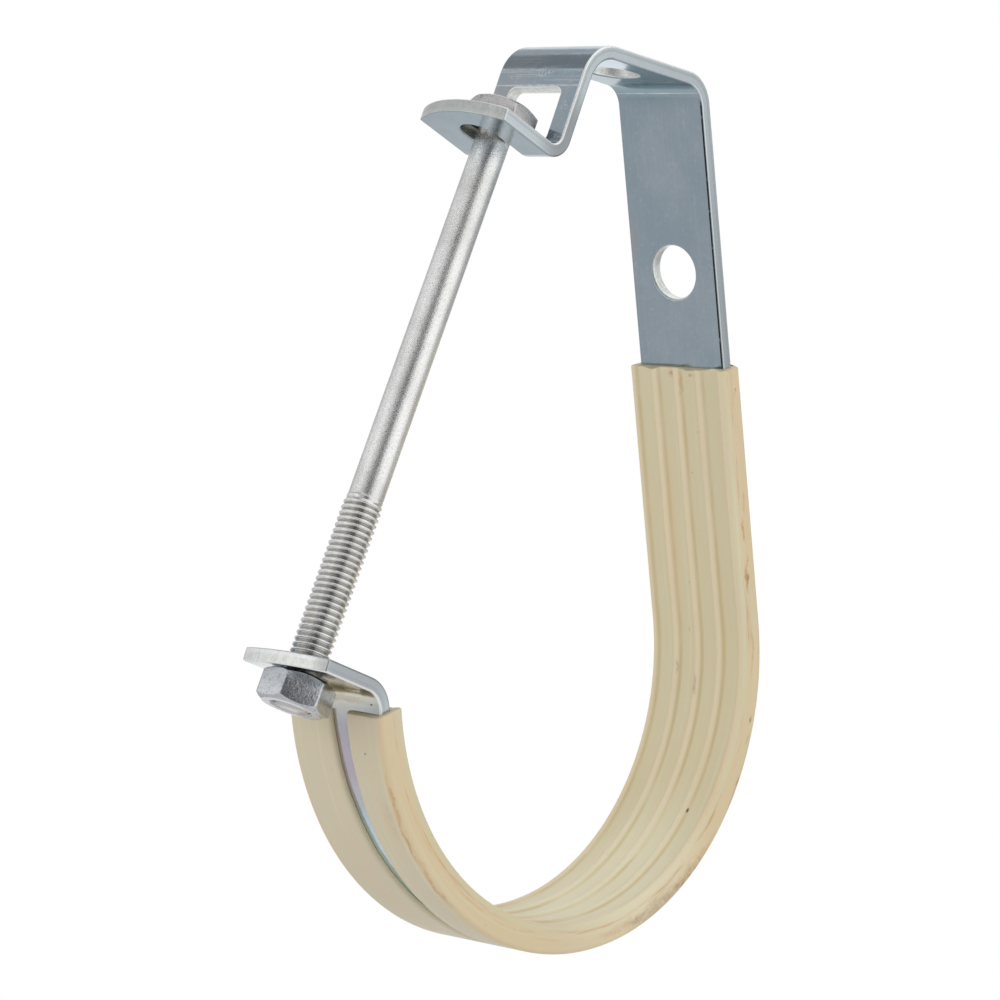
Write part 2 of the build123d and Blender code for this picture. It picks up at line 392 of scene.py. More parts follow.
class Nodes:
    """The node tree of a material or of the world, with short ways to add nodes and join them."""

    def __init__(self, owner: bpy.types.Material | bpy.types.World, shader: str) -> None:
        """Clear the owner's tree, and start it with one shader joined to its output.

        Args:
            owner: the material or the world.
            shader: kind of the shader.
        """
        owner.use_nodes = True
        self.owner = owner
        self.tree = owner.node_tree
        self.tree.nodes.clear()
        self.shader = self.add(shader)
        output = "OutputWorld" if isinstance(owner, bpy.types.World) else "OutputMaterial"
        self.add(output, {"Surface": self.shader.outputs[0]})

    @cached_property
    def object_place(self) -> Socket:
        """The piece's Object coordinates."""
        return self.add("TexCoord").outputs["Object"]

    def add(self, kind: str, inputs: Inputs | None = None, operation: str = "") -> bpy.types.Node:
        """Add a node.

        Args:
            kind: name of its type, without the words in front that all types share.
            inputs: what goes into its sockets, by their name or number.
            operation: what the node works out, where it has the choice.

        Returns:
            The new node.
        """
        node = self.tree.nodes.new("ShaderNode" + kind)
        if operation:
            node.operation = operation
        self.fill(node, inputs or {})
        return node

    def fill(self, node: bpy.types.Node, inputs: Inputs) -> None:
        """Join sockets to a node's inputs, and set the inputs that are given a plain value."""
        for name, value in inputs.items():
            if isinstance(value, Socket):
                self.tree.links.new(value, node.inputs[name])
            else:
                node.inputs[name].default_value = value

    def uv(self) -> Socket:
        """The piece's own strip coordinates."""
        node = self.add("UVMap")
        node.uv_map = "strip"
        return node.outputs["UV"]

    def attribute(self, name: str) -> Socket:
        """A value stored on the mesh's points."""
        node = self.add("Attribute")
        node.attribute_name = name
        return node.outputs["Fac"]

    def stretched(self, source: Socket, scale: tuple[float, float, float]) -> Socket:
        """Coordinates scaled along each axis."""
        return self.add("Mapping", {"Scale": scale, "Vector": source}).outputs["Vector"]

    def split(self, source: Socket) -> tuple[Socket, Socket]:
        """The first two parts of a vector."""
        node = self.add("SeparateXYZ", {"Vector": source})
        return node.outputs["X"], node.outputs["Y"]

    def ragged(self, source: Socket, scale: float, amount: float) -> Socket:
        """Coordinates pushed about by a noise, which frays what is drawn with them.

        Args:
            source: the coordinates.
            scale: the noise's scale per metre.
            amount: the most that a point is pushed, in metres, each way.

        Returns:
            The source plus the noise's colour less a half, times twice the amount.
        """
        noise = self.add("TexNoise", {"Scale": scale, "Detail": 3.0, "Vector": source})
        centred = self.add("VectorMath", {0: noise.outputs["Color"], 1: (0.5, 0.5, 0.5)}, "SUBTRACT")
        reach = {0: centred.outputs["Vector"], 1: (2 * amount, 2 * amount, 2 * amount), 2: source}
        return self.add("VectorMath", reach, "MULTIPLY_ADD").outputs["Vector"]

    def spot(self, source: Socket, spot: Spot) -> Socket:
        """Soft ellipse on a piece's own map: its strength at its middle and nothing past its rim.

        Args:
            source: coordinates in metres.
            spot: where it is, how large and how strong.

        Returns:
            The ellipse's share at each point.
        """
        scale = (1 / (spot.length * MM), 1 / (spot.width * MM), 0.0)
        shift = (-spot.along / spot.length, -spot.across / spot.width, 0.0)
        place = self.add("Mapping", {"Scale": scale, "Location": shift, "Vector": source})
        away = self.add("VectorMath", {0: place.outputs["Vector"]}, "LENGTH")
        return self.ramp(away.outputs["Value"], 0.25, 1.0, spot.strength, 0.0)

    def stripe(self, value: Socket, middle: float, half: float, soft: float) -> Socket:
        """One where a value is within half of the middle, and less over the soft margin beyond."""
        away = self.math("ABSOLUTE", self.math("SUBTRACT", value, middle), 0.0)
        return self.ramp(away, half, half + soft, 1.0, 0.0)

    def hairlines(self, source: Socket, scale: float, width: float) -> Socket:
        """Thin winding lines, where a noise crosses its own middle value."""
        return self.stripe(self.noise(source, scale, 1.0, 0.4), 0.5, width / 3, width)

    def noise(self, source: Socket, scale: float, detail: float = 3.0, rough: float = 0.55) -> Socket:
        """Fractal noise at a scale per metre."""
        inputs = {"Scale": scale, "Detail": detail, "Roughness": rough, "Vector": source}
        return self.add("TexNoise", inputs).outputs["Fac"]

    def grained(self, source: Socket, mottle: Mottle) -> Socket:
        """A mottle's own noise, before its ramp."""
        if mottle.stretch:
            source = self.stretched(source, mottle.stretch)
        return self.noise(source, mottle.scale, mottle.detail, mottle.rough)

    def mottle(self, source: Socket, mottle: Mottle) -> Socket:
        """Share that a shaped noise gives at each point."""
        return self.ramp(self.grained(source, mottle), mottle.low, mottle.high, mottle.start, mottle.end)

    def ramp(
        self, source: Socket, low: float, high: float, start: float = 0.0, end: float = 1.0
    ) -> Socket:
        """Value that goes smoothly from start to end while the source goes from low to high."""
        inputs = {"Value": source, "From Min": low, "From Max": high, "To Min": start, "To Max": end}
        node = self.add("MapRange", inputs)
        node.interpolation_type = "SMOOTHSTEP"
        return node.outputs["Result"]

    def math(self, operation: str, first: Socket, second: Socket | float) -> Socket:
        """One sum of two values."""
        return self.add("Math", {0: first, 1: second}, operation).outputs[0]

    def times(self, *factors: Socket | float) -> Socket:
        """Product of two or more values."""
        product = factors[0]
        for factor in factors[1:]:
            product = self.math("MULTIPLY", product, factor)
        return product

    def mix(self, share: Socket, first: Value, second: Value, kind: Mixed = Mixed.COLOUR) -> Socket:
        """Colour or number that goes from the first to the second by a share.

        Args:
            share: zero for the first, one for the second.
            first: a socket or a plain value.
            second: a socket or a plain value.
            kind: whether they are colours or numbers.

        Returns:
            The mixed colour or number.
        """
        data_type, number, output = kind.value
        node = self.add("Mix")
        node.data_type = data_type
        self.fill(node, {0: share, number: first, number + 1: second})
        return node.outputs[output]

    def bump(self, height: Socket, strength: float, distance: float) -> None:
        """Add relief to the shader's normal, over any relief it already has.

        Args:
            height: what lifts the surface.
            strength: the share of the relief that shows.
            distance: the relief's depth, in metres.
        """
        node = self.add("Bump", {"Strength": strength, "Distance": distance, "Height": height})
        normal = self.shader.inputs["Normal"]
        if normal.is_linked:
            self.fill(node, {"Normal": normal.links[0].from_socket})
        self.fill(self.shader, {"Normal": node.outputs["Normal"]})

    def relief(self, source: Socket, relief: Relief) -> None:
        """Add a noise's relief to the shader's normal."""
        height = self.noise(source, relief.scale, relief.detail, relief.rough)
        self.bump(height, relief.strength, relief.depth)


class Side(Enum):
    """Which surface of the strip a patch lies on."""

    OUTER = "outer"
    INNER = "inner"
    WALL = "wall"


@dataclass(frozen=True)
class Patch:
    """A tinted patch of the strip, on its outer face, its inner face or its cut edges."""

    side: Side
    spot: Spot
    tint: Colour


@dataclass(frozen=True)
class StripMarks:
    """Where the strip is marked, in millimetres along it and across it."""

    # Where the painted shade line along the leg's near inner arris starts, ends and lies.
    seam_start: float
    seam_end: float
    seam_across: float
    crossed: tuple[Spot, ...]
    scribbles: tuple[Spot, ...]
    press_lines: tuple[Spot, ...]
    specks: tuple[Spot, ...]
    patches: tuple[Patch, ...]
    rim_speck: Spot


@dataclass(frozen=True)
class StripFinish:
    """Bright zinc on rolled strip: a cool mirror sheen, faint clouds, scratches and paler cut edges.
    Light and shade are painted in too: a highlight on the outer arrises, a shade line along the leg's
    inner arris, and patches of painted reflection and shade.

    The mesh brings three values: the height through the strip (minus one on the inner face, one on
    the outer face), the share of cut wall, and the share of shearing. Four numbers of a ramp are its
    low, high, start and end. Two of a fray are its scale and reach, of lines their scale and width,
    and of a relief its strength and depth.
    """

    tint: Colour = (0.36, 0.445, 0.50, 1.0)
    cloud_tint: Colour = (0.42, 0.49, 0.535, 1.0)
    blush_tint: Colour = (0.50, 0.45, 0.45, 1.0)
    scratch_tint: Colour = (0.80, 0.84, 0.86, 1.0)
    wall_tint: Colour = (0.63, 0.70, 0.73, 1.0)
    wall_line_tint: Colour = (0.48, 0.53, 0.55, 1.0)
    sheared_tint: Colour = (0.88, 0.89, 0.84, 1.0)
    dark_tint: Colour = (0.025, 0.02, 0.018, 1.0)
    # Near white: the painted highlight on the outer arrises, and the torn half of a sheared wall.
    arris_tint: Colour = (0.97, 0.98, 0.98, 1.0)
    wall_roughness: float = 0.26
    sheared_roughness: float = 0.34
    arris_roughness: float = 0.55
    scratch_roughness: float = 0.4
    roughness = Mottle(300.0, 4.0, 0.3, 0.7, 0.11, 0.21)
    clouds = Mottle(42.0, 4.0, 0.38, 0.66)
    blush = Mottle(27.0, 3.0, 0.56, 0.76, 0.0, 0.45)
    bloom = Mottle(750.0, 5.0, 0.5, 0.75, 0.0, 0.15, rough=0.7)
    rolled = Mottle(1.0, 3.0, 0.45, 0.8, 0.0, 0.07, stretch=(40.0, 1400.0, 0.0))
    hair_patches = Mottle(60.0, 2.0, 0.52, 0.66)
    crossing = Mottle(1.0, 4.0, 0.5, 0.72, rough=0.65, stretch=(3200.0, 55.0, 0.0))
    broken = Mottle(420.0, 3.0, 0.3, 0.6, 0.35, 1.0)
    shear_strokes = Mottle(2100.0, 4.0, 0.42, 0.64, 0.0, 0.4, rough=0.65, stretch=(1.0, 1.0, 0.22))
    shear_mottle = Mottle(480.0, 5.0, 0.48, 0.7, 0.0, 0.5, rough=0.7)
    # The painted shade line: its gaps, width, softness and fades.
    seam_gaps = Mottle(700.0, 3.0, 0.34, 0.44, 0.45, 1.0, stretch=(1.0, 0.0, 0.0))
    seam_half, seam_soft = 0.00009, 0.00013
    seam_fade_in, seam_fade_out = (0, 2), (3, 4)
    side_fade = 0.1
    wall_rise = (0.5, 0.95)
    # Where the painted highlight lies over the outer arris.
    arris_rise, arris_fall = (0.15, 0.45), (0.93, 1.0, 1.0, 0.0)
    torn_half = (-0.5, -0.15, 0.5, 0.0)
    edge_line, edge_line_share = (0.30, 0.08, 0.2), 0.6
    hairlines, hair_shares = (150.0, 0.006), (0.1, 0.3)
    scribble_fray, scribble_lines = (700.0, 0.0004), (900.0, 0.03)
    patch_fray = (350.0, 0.0009)
    line_wear = 0.7
    fine_relief = Relief(2400.0, 3.0, 0.6, 0.35, 0.00001)
    wavy_relief = Relief(130.0, 3.0, 0.55, 0.5, 0.00006)
    line_relief = (0.3, 0.00003)
    shear_grain, shear_relief = (1600.0, 4.0, 0.7), (1.0, 0.00006)

    def material(self, marks: StripMarks) -> bpy.types.Material:
        """Build the finish as a node material.

        Args:
            marks: where the strip is scratched, stained and pressed, and where light and shade are
                painted.

        Returns:
            The material.
        """
        nodes = Nodes(bpy.data.materials.new("zinc strip"), "BsdfPrincipled")
        place = nodes.uv()
        body = nodes.object_place
        height, wall, sheared = (nodes.attribute(name) for name in ("height", "wall", "sheared"))
        outer = nodes.ramp(height, 0.0, self.side_fade)
        inner = nodes.ramp(height, -self.side_fade, 0.0, 1.0, 0.0)

        colour = self.faces(nodes, place)
        shares = {Side.OUTER: outer, Side.INNER: inner}
        frayed = nodes.ragged(place, *self.patch_fray)
        # Patches on the faces: mostly painted reflections of the pieces that face them.
        for patch in marks.patches:
            if patch.side in shares:
                share = nodes.times(nodes.spot(frayed, patch.spot), shares[patch.side])
                colour = nodes.mix(share, colour, patch.tint)
        lines = self.brushed(nodes, place, marks, outer)
        colour = nodes.mix(lines, colour, self.scratch_tint)
        edge = self.cut_edges(nodes, place, height, sheared, marks)
        colour = nodes.mix(nodes.ramp(wall, *self.wall_rise), colour, edge)
        # Painted highlight: the outer arrises are painted near white, for the light that they catch.
        rim = nodes.times(nodes.ramp(wall, *self.arris_rise), nodes.ramp(wall, *self.arris_fall), outer)
        colour = nodes.mix(rim, colour, self.arris_tint)
        # Painted shade: a dark broken line along the leg's near inner arris.
        colour = nodes.mix(nodes.times(self.seam(nodes, place, marks), inner), colour, self.dark_tint)
        for speck in marks.specks:
            colour = nodes.mix(nodes.times(nodes.spot(place, speck), outer), colour, self.dark_tint)
        rim_speck = nodes.times(nodes.spot(place, marks.rim_speck), inner)
        colour = nodes.mix(rim_speck, colour, self.dark_tint)

        shear = nodes.times(wall, sheared)
        rough = nodes.mottle(body, self.roughness)
        for share, value in (
            (wall, self.wall_roughness),
            (shear, self.sheared_roughness),
            (rim, self.arris_roughness),
            (nodes.times(lines, self.line_wear), self.scratch_roughness),
        ):
            rough = nodes.mix(share, rough, value, Mixed.NUMBER)
        nodes.fill(nodes.shader, {"Metallic": 1.0, "Base Color": colour, "Roughness": rough})
        nodes.relief(body, self.fine_relief)
        nodes.relief(body, self.wavy_relief)
        nodes.bump(lines, *self.line_relief)
        strokes = nodes.grained(body, self.shear_strokes)
        grain = nodes.math("ADD", strokes, nodes.noise(body, *self.shear_grain))
        nodes.bump(nodes.times(grain, shear), *self.shear_relief)
        return nodes.owner

    def faces(self, nodes: Nodes, place: Socket) -> Socket:
        """Colour of the flat faces: cool zinc with soft clouds and a little mottling.

        Args:
            nodes: the material's tree.
            place: the strip's own coordinates.

        Returns:
            The colour.
        """
        colour = self.tint
        for source, mottle, tint in (
            (nodes.object_place, self.clouds, self.cloud_tint),
            (nodes.object_place, self.blush, self.blush_tint),
            (nodes.object_place, self.bloom, self.scratch_tint),
            (place, self.rolled, self.scratch_tint),
        ):
            colour = nodes.mix(nodes.mottle(source, mottle), colour, tint)
        return colour

    def brushed(self, nodes: Nodes, place: Socket, marks: StripMarks, outer: Socket) -> Socket:
        """Share of bright scratching: hairlines all over, scribbles, and lines that the press left.

        Args:
            nodes: the material's tree.
            place: the strip's own coordinates.
            marks: where the strip is marked.
            outer: share of the outer face.

        Returns:
            The share.
        """
        total = nodes.times(
            nodes.hairlines(place, *self.hairlines),
            nodes.mottle(place, self.hair_patches),
            nodes.ramp(outer, 0.0, 1.0, *self.hair_shares),
        )
        frayed = nodes.ragged(place, *self.scribble_fray)
        for spots, lines in (
            (marks.scribbles, nodes.times(nodes.hairlines(frayed, *self.scribble_lines), outer)),
            (marks.crossed, nodes.times(nodes.mottle(place, self.crossing), outer)),
            (marks.press_lines, nodes.mottle(place, self.broken)),
        ):
            for spot in spots:
                total = nodes.math("MAXIMUM", total, nodes.times(nodes.spot(place, spot), lines))
        return total

    def cut_edges(
        self, nodes: Nodes, place: Socket, height: Socket, sheared: Socket, marks: StripMarks
    ) -> Socket:
        """Colour of the cut edges.

        A long edge is paler than the faces, with one duller line along it. A sheared or punched wall
        is brighter still and mottled, with a torn lower half.

        Args:
            nodes: the material's tree.
            place: the strip's own coordinates.
            height: height through the strip, from minus one to one.
            sheared: share of shearing.
            marks: where the strip is marked.

        Returns:
            The colour.
        """
        line = nodes.times(nodes.stripe(height, *self.edge_line), self.edge_line_share)
        edge = nodes.mix(line, self.wall_tint, self.wall_line_tint)
        strokes = nodes.mottle(nodes.object_place, self.shear_strokes)
        rough_edge = nodes.mix(strokes, self.sheared_tint, self.wall_line_tint)
        mottle = nodes.mottle(nodes.object_place, self.shear_mottle)
        rough_edge = nodes.mix(mottle, rough_edge, self.wall_line_tint)
        # The torn lower half takes the same near white as the painted arris highlight.
        rough_edge = nodes.mix(nodes.ramp(height, *self.torn_half), rough_edge, self.arris_tint)
        edge = nodes.mix(sheared, edge, rough_edge)
        # Painted shade on the cut edges: duller stretches, and dark on the slot's walls.
        for patch in marks.patches:
            if patch.side is Side.WALL:
                edge = nodes.mix(nodes.spot(place, patch.spot), edge, patch.tint)
        return edge

    def seam(self, nodes: Nodes, place: Socket, marks: StripMarks) -> Socket:
        """Share of the painted shade line: a dark broken line along the leg's near inner arris.

        Args:
            nodes: the material's tree.
            place: the strip's own coordinates.
            marks: where the line starts, ends and lies.

        Returns:
            The share.
        """
        along, across = nodes.split(place)
        rise = ((marks.seam_start + reach) * MM for reach in self.seam_fade_in)
        fall = ((marks.seam_end + reach) * MM for reach in self.seam_fade_out)
        return nodes.times(
            nodes.stripe(across, marks.seam_across * MM, self.seam_half, self.seam_soft),
            nodes.ramp(along, *rise),
            nodes.ramp(along, *fall, 1, 0),
            nodes.mottle(along, self.seam_gaps),
        )


@dataclass(frozen=True)
class FastenerFinish:
    """Zinc on forged and rolled steel: bright, speckled with tiny facets, stained in a few places,
    with painted shade in the thread's roots and under the head.
    """

    name: str
    tint: Colour
    speckle_tint: Colour
    roughness: float
    speckle_scale: float
    speckle_depth: float
    speckle_share: float
    dent_depth: float
    stain_tint: Colour = (0.46, 0.40, 0.30, 1.0)
    # Painted shade in the thread's roots and under the head.
    groove_tint: Colour = (0.36, 0.345, 0.31, 1.0)
    head_tint: Colour = (0.54, 0.52, 0.52, 1.0)
    clouds = Mottle(90.0, 4.0, 0.4, 0.7, 0.0, 0.3)
    stains = Mottle(150.0, 5.0, 0.64, 0.74, 0.0, 0.5, rough=0.7)
    thread_calm, head_share, groove_shares = 0.35, 0.8, (0.2, 0.95, 0.0, 0.8)
    grain_detail, grain_rough = 4.0, 0.7
    speckle_range, gloss_range = (0.50, 0.62), (0.35, 0.65)
    rougher, smoother = 0.06, 0.05
    dent_scale, dent_strength = 1 / 6, 0.6

    def material(self) -> bpy.types.Material:
        """Build the finish: painted shade in thread roots and under the head, darker where marked as
        head.
        """
        nodes = Nodes(bpy.data.materials.new(self.name), "BsdfPrincipled")
        place = nodes.object_place
        plain = nodes.ramp(nodes.attribute("thread"), 0.0, 1.0, 1.0, self.thread_calm)
        grains = nodes.noise(place, self.speckle_scale, self.grain_detail, self.grain_rough)
        speckle = nodes.times(nodes.ramp(grains, *self.speckle_range, 0.0, self.speckle_share), plain)
        colour = self.tint
        for share, tint in (
            (nodes.mottle(place, self.clouds), self.speckle_tint),
            (speckle, self.speckle_tint),
            (nodes.mottle(place, self.stains), self.stain_tint),
            (nodes.times(nodes.attribute("head"), self.head_share), self.head_tint),
            # Painted shade in the thread's roots and under the head.
            (nodes.ramp(nodes.attribute("groove"), *self.groove_shares), self.groove_tint),
        ):
            colour = nodes.mix(share, colour, tint)
        gloss = (self.roughness + self.rougher, self.roughness - self.smoother)
        uneven = nodes.ramp(grains, *self.gloss_range, *gloss)
        nodes.fill(nodes.shader, {"Metallic": 1.0, "Base Color": colour, "Roughness": uneven})
        nodes.bump(nodes.times(grains, plain), 1.0, self.speckle_depth)
        dents = nodes.noise(place, self.speckle_scale * self.dent_scale)
        nodes.bump(dents, self.dent_strength, self.dent_depth)
        return nodes.owner


@dataclass(frozen=True)
class LinerMarks:
    """Where the liner is marked, in millimetres along it and round its wall."""

    rust: list[Spot]
    grime: list[Spot]
    specks: list[Spot]
    dirty_line: float
    # A pool of painted light on the floor, low in the J.
    pale: Spot


@dataclass(frozen=True)
class LinerFinish:
    """Cream moulded liner with a soft sheen: greenish floor, long streaks and some dirt, with painted
    light: lighter peach ribs, a shadow line at each rib's foot and a pale pool low in the J.

    The mesh brings the share of rib under each point, the share of the painted shadow line beside a
    rib, and whether the point is on the outside flaps. Its map runs along the liner and round its wall.
    The numbers of ramps, frays and reliefs are in the strip finish's order.
    """

    tint: Colour = (0.675, 0.605, 0.395, 1.0)
    # Painted highlight: the ribs are painted lighter than the floor.
    rib_tint: Colour = (0.76, 0.65, 0.445, 1.0)
    side_tint: Colour = (0.72, 0.575, 0.345, 1.0)
    # Painted shadow along the near foot of each rib.
    foot_tint: Colour = (0.62, 0.50, 0.26, 1.0)
    flap_tint: Colour = (0.66, 0.585, 0.425, 1.0)
    streak_tint: Colour = (0.74, 0.55, 0.33, 1.0)
    pale_tint: Colour = (0.74, 0.70, 0.50, 1.0)
    # Painted light: the pale pool low in the J.
    bright_tint: Colour = (0.86, 0.80, 0.60, 1.0)
    grime_tint: Colour = (0.20, 0.095, 0.035, 1.0)
    rust_tint: Colour = (0.52, 0.25, 0.08, 1.0)
    speck_tint: Colour = (0.03, 0.03, 0.025, 1.0)
    clouds = Mottle(30.0, 4.0, 0.45, 0.72, 0.0, 0.4)
    fading = Mottle(1.0, 2.0, 0.35, 0.6, 0.2, 0.75, stretch=(45.0, 300.0, 0.0))
    wear = Mottle(1.0, 5.0, 0.5, 0.74, 0.0, 0.75, rough=0.7, stretch=(60.0, 900.0, 0.0))
    grit = Mottle(700.0, 5.0, 0.36, 0.6, 0.35, 1.0, rough=0.75)
    dust = Mottle(420.0, 5.0, 0.62, 0.8, 0.0, 0.22, rough=0.75)
    streak_stretch, streak_noise = (14.0, 620.0, 0.0), (1.0, 3.0, 0.5)
    dark_streaks, pale_streaks = (0.5, 0.74, 0.0, 0.6), (0.48, 0.25, 0.0, 0.45)
    side_soft, side_share = 0.0012, 0.8
    dirt_half, dirt_soft = 0.0002, 0.0013
    stain_fray = (260.0, 0.0014)
    gloss_scale, gloss_range = 1500.0, (0.3, 0.7, 0.39, 0.52)
    gloss_relief, streak_relief = (0.2, 0.00004), (0.6, 0.00012)
    wavy_relief = Relief(110.0, 3.0, 0.55, 0.4, 0.00025)
    index, soft_share, soft_reach = 1.5, 0.12, (0.0012, 0.0009, 0.0005)

    def material(self, marks: LinerMarks) -> bpy.types.Material:
        """Build the finish as a node material.

        Args:
            marks: the liner's stains and specks, the corner that has picked up dirt, and the pool of
                painted light.

        Returns:
            The material.
        """
        nodes = Nodes(bpy.data.materials.new("cream liner"), "BsdfPrincipled")
        place = nodes.uv()
        body = nodes.object_place
        _, round_wall = nodes.split(place)
        corner = marks.dirty_line * MM
        streaks = nodes.noise(nodes.stretched(place, self.streak_stretch), *self.streak_noise)
        side = nodes.stripe(round_wall, corner / 2, corner / 2, self.side_soft)
        dirt = nodes.stripe(round_wall, corner, self.dirt_half, self.dirt_soft)
        layers = [
            # Painted highlight: the ribs painted lighter than the floor between them.
            (nodes.attribute("rise"), self.rib_tint),
            (nodes.attribute("outside"), self.flap_tint),
            (nodes.times(side, self.side_share), self.side_tint),
            (nodes.ramp(streaks, *self.dark_streaks), self.streak_tint),
            (nodes.ramp(streaks, *self.pale_streaks), self.pale_tint),
            (nodes.mottle(body, self.clouds), self.flap_tint),
            # Painted light: a pale pool on the floor, low in the J.
            (nodes.spot(place, marks.pale), self.bright_tint),
            # Painted shadow: a line along the near foot of each rib and of the far lip.
            (nodes.times(nodes.attribute("foot"), nodes.mottle(place, self.fading)), self.foot_tint),
            (nodes.times(dirt, nodes.mottle(place, self.wear)), self.rust_tint),
        ]
        frayed = nodes.ragged(place, *self.stain_fray)
        grit = nodes.mottle(body, self.grit)
        for spots, tint in ((marks.rust, self.rust_tint), (marks.grime, self.grime_tint)):
            layers += [(nodes.times(nodes.spot(frayed, spot), grit), tint) for spot in spots]
        layers += [(nodes.spot(place, spot), self.speck_tint) for spot in marks.specks]
        layers.append((nodes.mottle(body, self.dust), self.grime_tint))
        colour = self.tint
        for share, tint in layers:
            colour = nodes.mix(share, colour, tint)
        fine = nodes.noise(body, self.gloss_scale)
        soft = {
            "Base Color": colour,
            "Roughness": nodes.ramp(fine, *self.gloss_range),
            "IOR": self.index,
            "Subsurface Weight": self.soft_share,
            "Subsurface Radius": self.soft_reach,
            "Subsurface Scale": 1.0,
        }
        nodes.fill(nodes.shader, soft)
        nodes.bump(fine, *self.gloss_relief)
        nodes.bump(streaks, *self.streak_relief)
        nodes.relief(body, self.wavy_relief)
        return nodes.owner


@dataclass(frozen=True)
class StrapSizes:
    """Sizes of the steel strip, in millimetres and degrees, as the model has them."""

    width: float = 23.0
    thickness: float = 2.8
    rod_to_back_corner: float = 16.2
    rod_to_front_corner: float = 18.4
    rod_hole: float = 11.5
    back_corner_radius: float = 6.5
    front_corner_radius: float = 8.3
    leg_angle: float = 19.3
    leg_length: float = 116.3
    side_hole: float = 11.5
    side_hole_from_corner: float = 40.2
    back_curve_angle: float = 90.0
    back_curve_radius: float = 52.5
    front_curve_angle: float = 94.0
    front_curve_radius: float = 58.5
    front_leg_angle: float = 14.9
    front_leg_length: float = 24.5
    ear_corner_radius: float = 3.8
    window_width: float = 13.9
    window_from_front_corner: float = 9.8
    window_above_ear_corner: float = 1.7
    window_upper_radius: float = 1.5
    slot_width: float = 8.3
    slot_beyond_bolt: float = 8.0
    ear_corner_to_bolt: float = 8.3
    upper_tip_beyond_bolt: float = 13.8
    upper_tip_radius: float = 19.0
    lower_bend_radius: float = 6.2
    lower_bend_angle: float = 63.2
    lower_bend_to_hole: float = 7.05
    lower_tip_beyond_hole: float = 7.4
    lower_tip_radius: float = 38.0
    lower_hole: float = 9.0


def bolt_direction() -> Array:
    """Unit vector up the bolt, from the joint that turns it."""
    axis = [joint for joint in frame["joints"] if joint["name"] == "bolt_turn"][0]["axis"]
    up = np.array(axis, dtype=float)
    return up / np.linalg.norm(up)


@dataclass
class Rim:
    """One rim of the blank: its outline, and each point's outward normal, edge radius and shearing."""

    outline: Array
    normals: Array
    radii: Array
    shear: Array
    set_in: Callable[[float], Array] | None = None

    def ring(self, share: float) -> Array:
        """The outline set in by a share of its radii."""
        if self.set_in:
            return self.set_in(share)
        return self.outline - self.normals * (self.radii * share)[:, None]


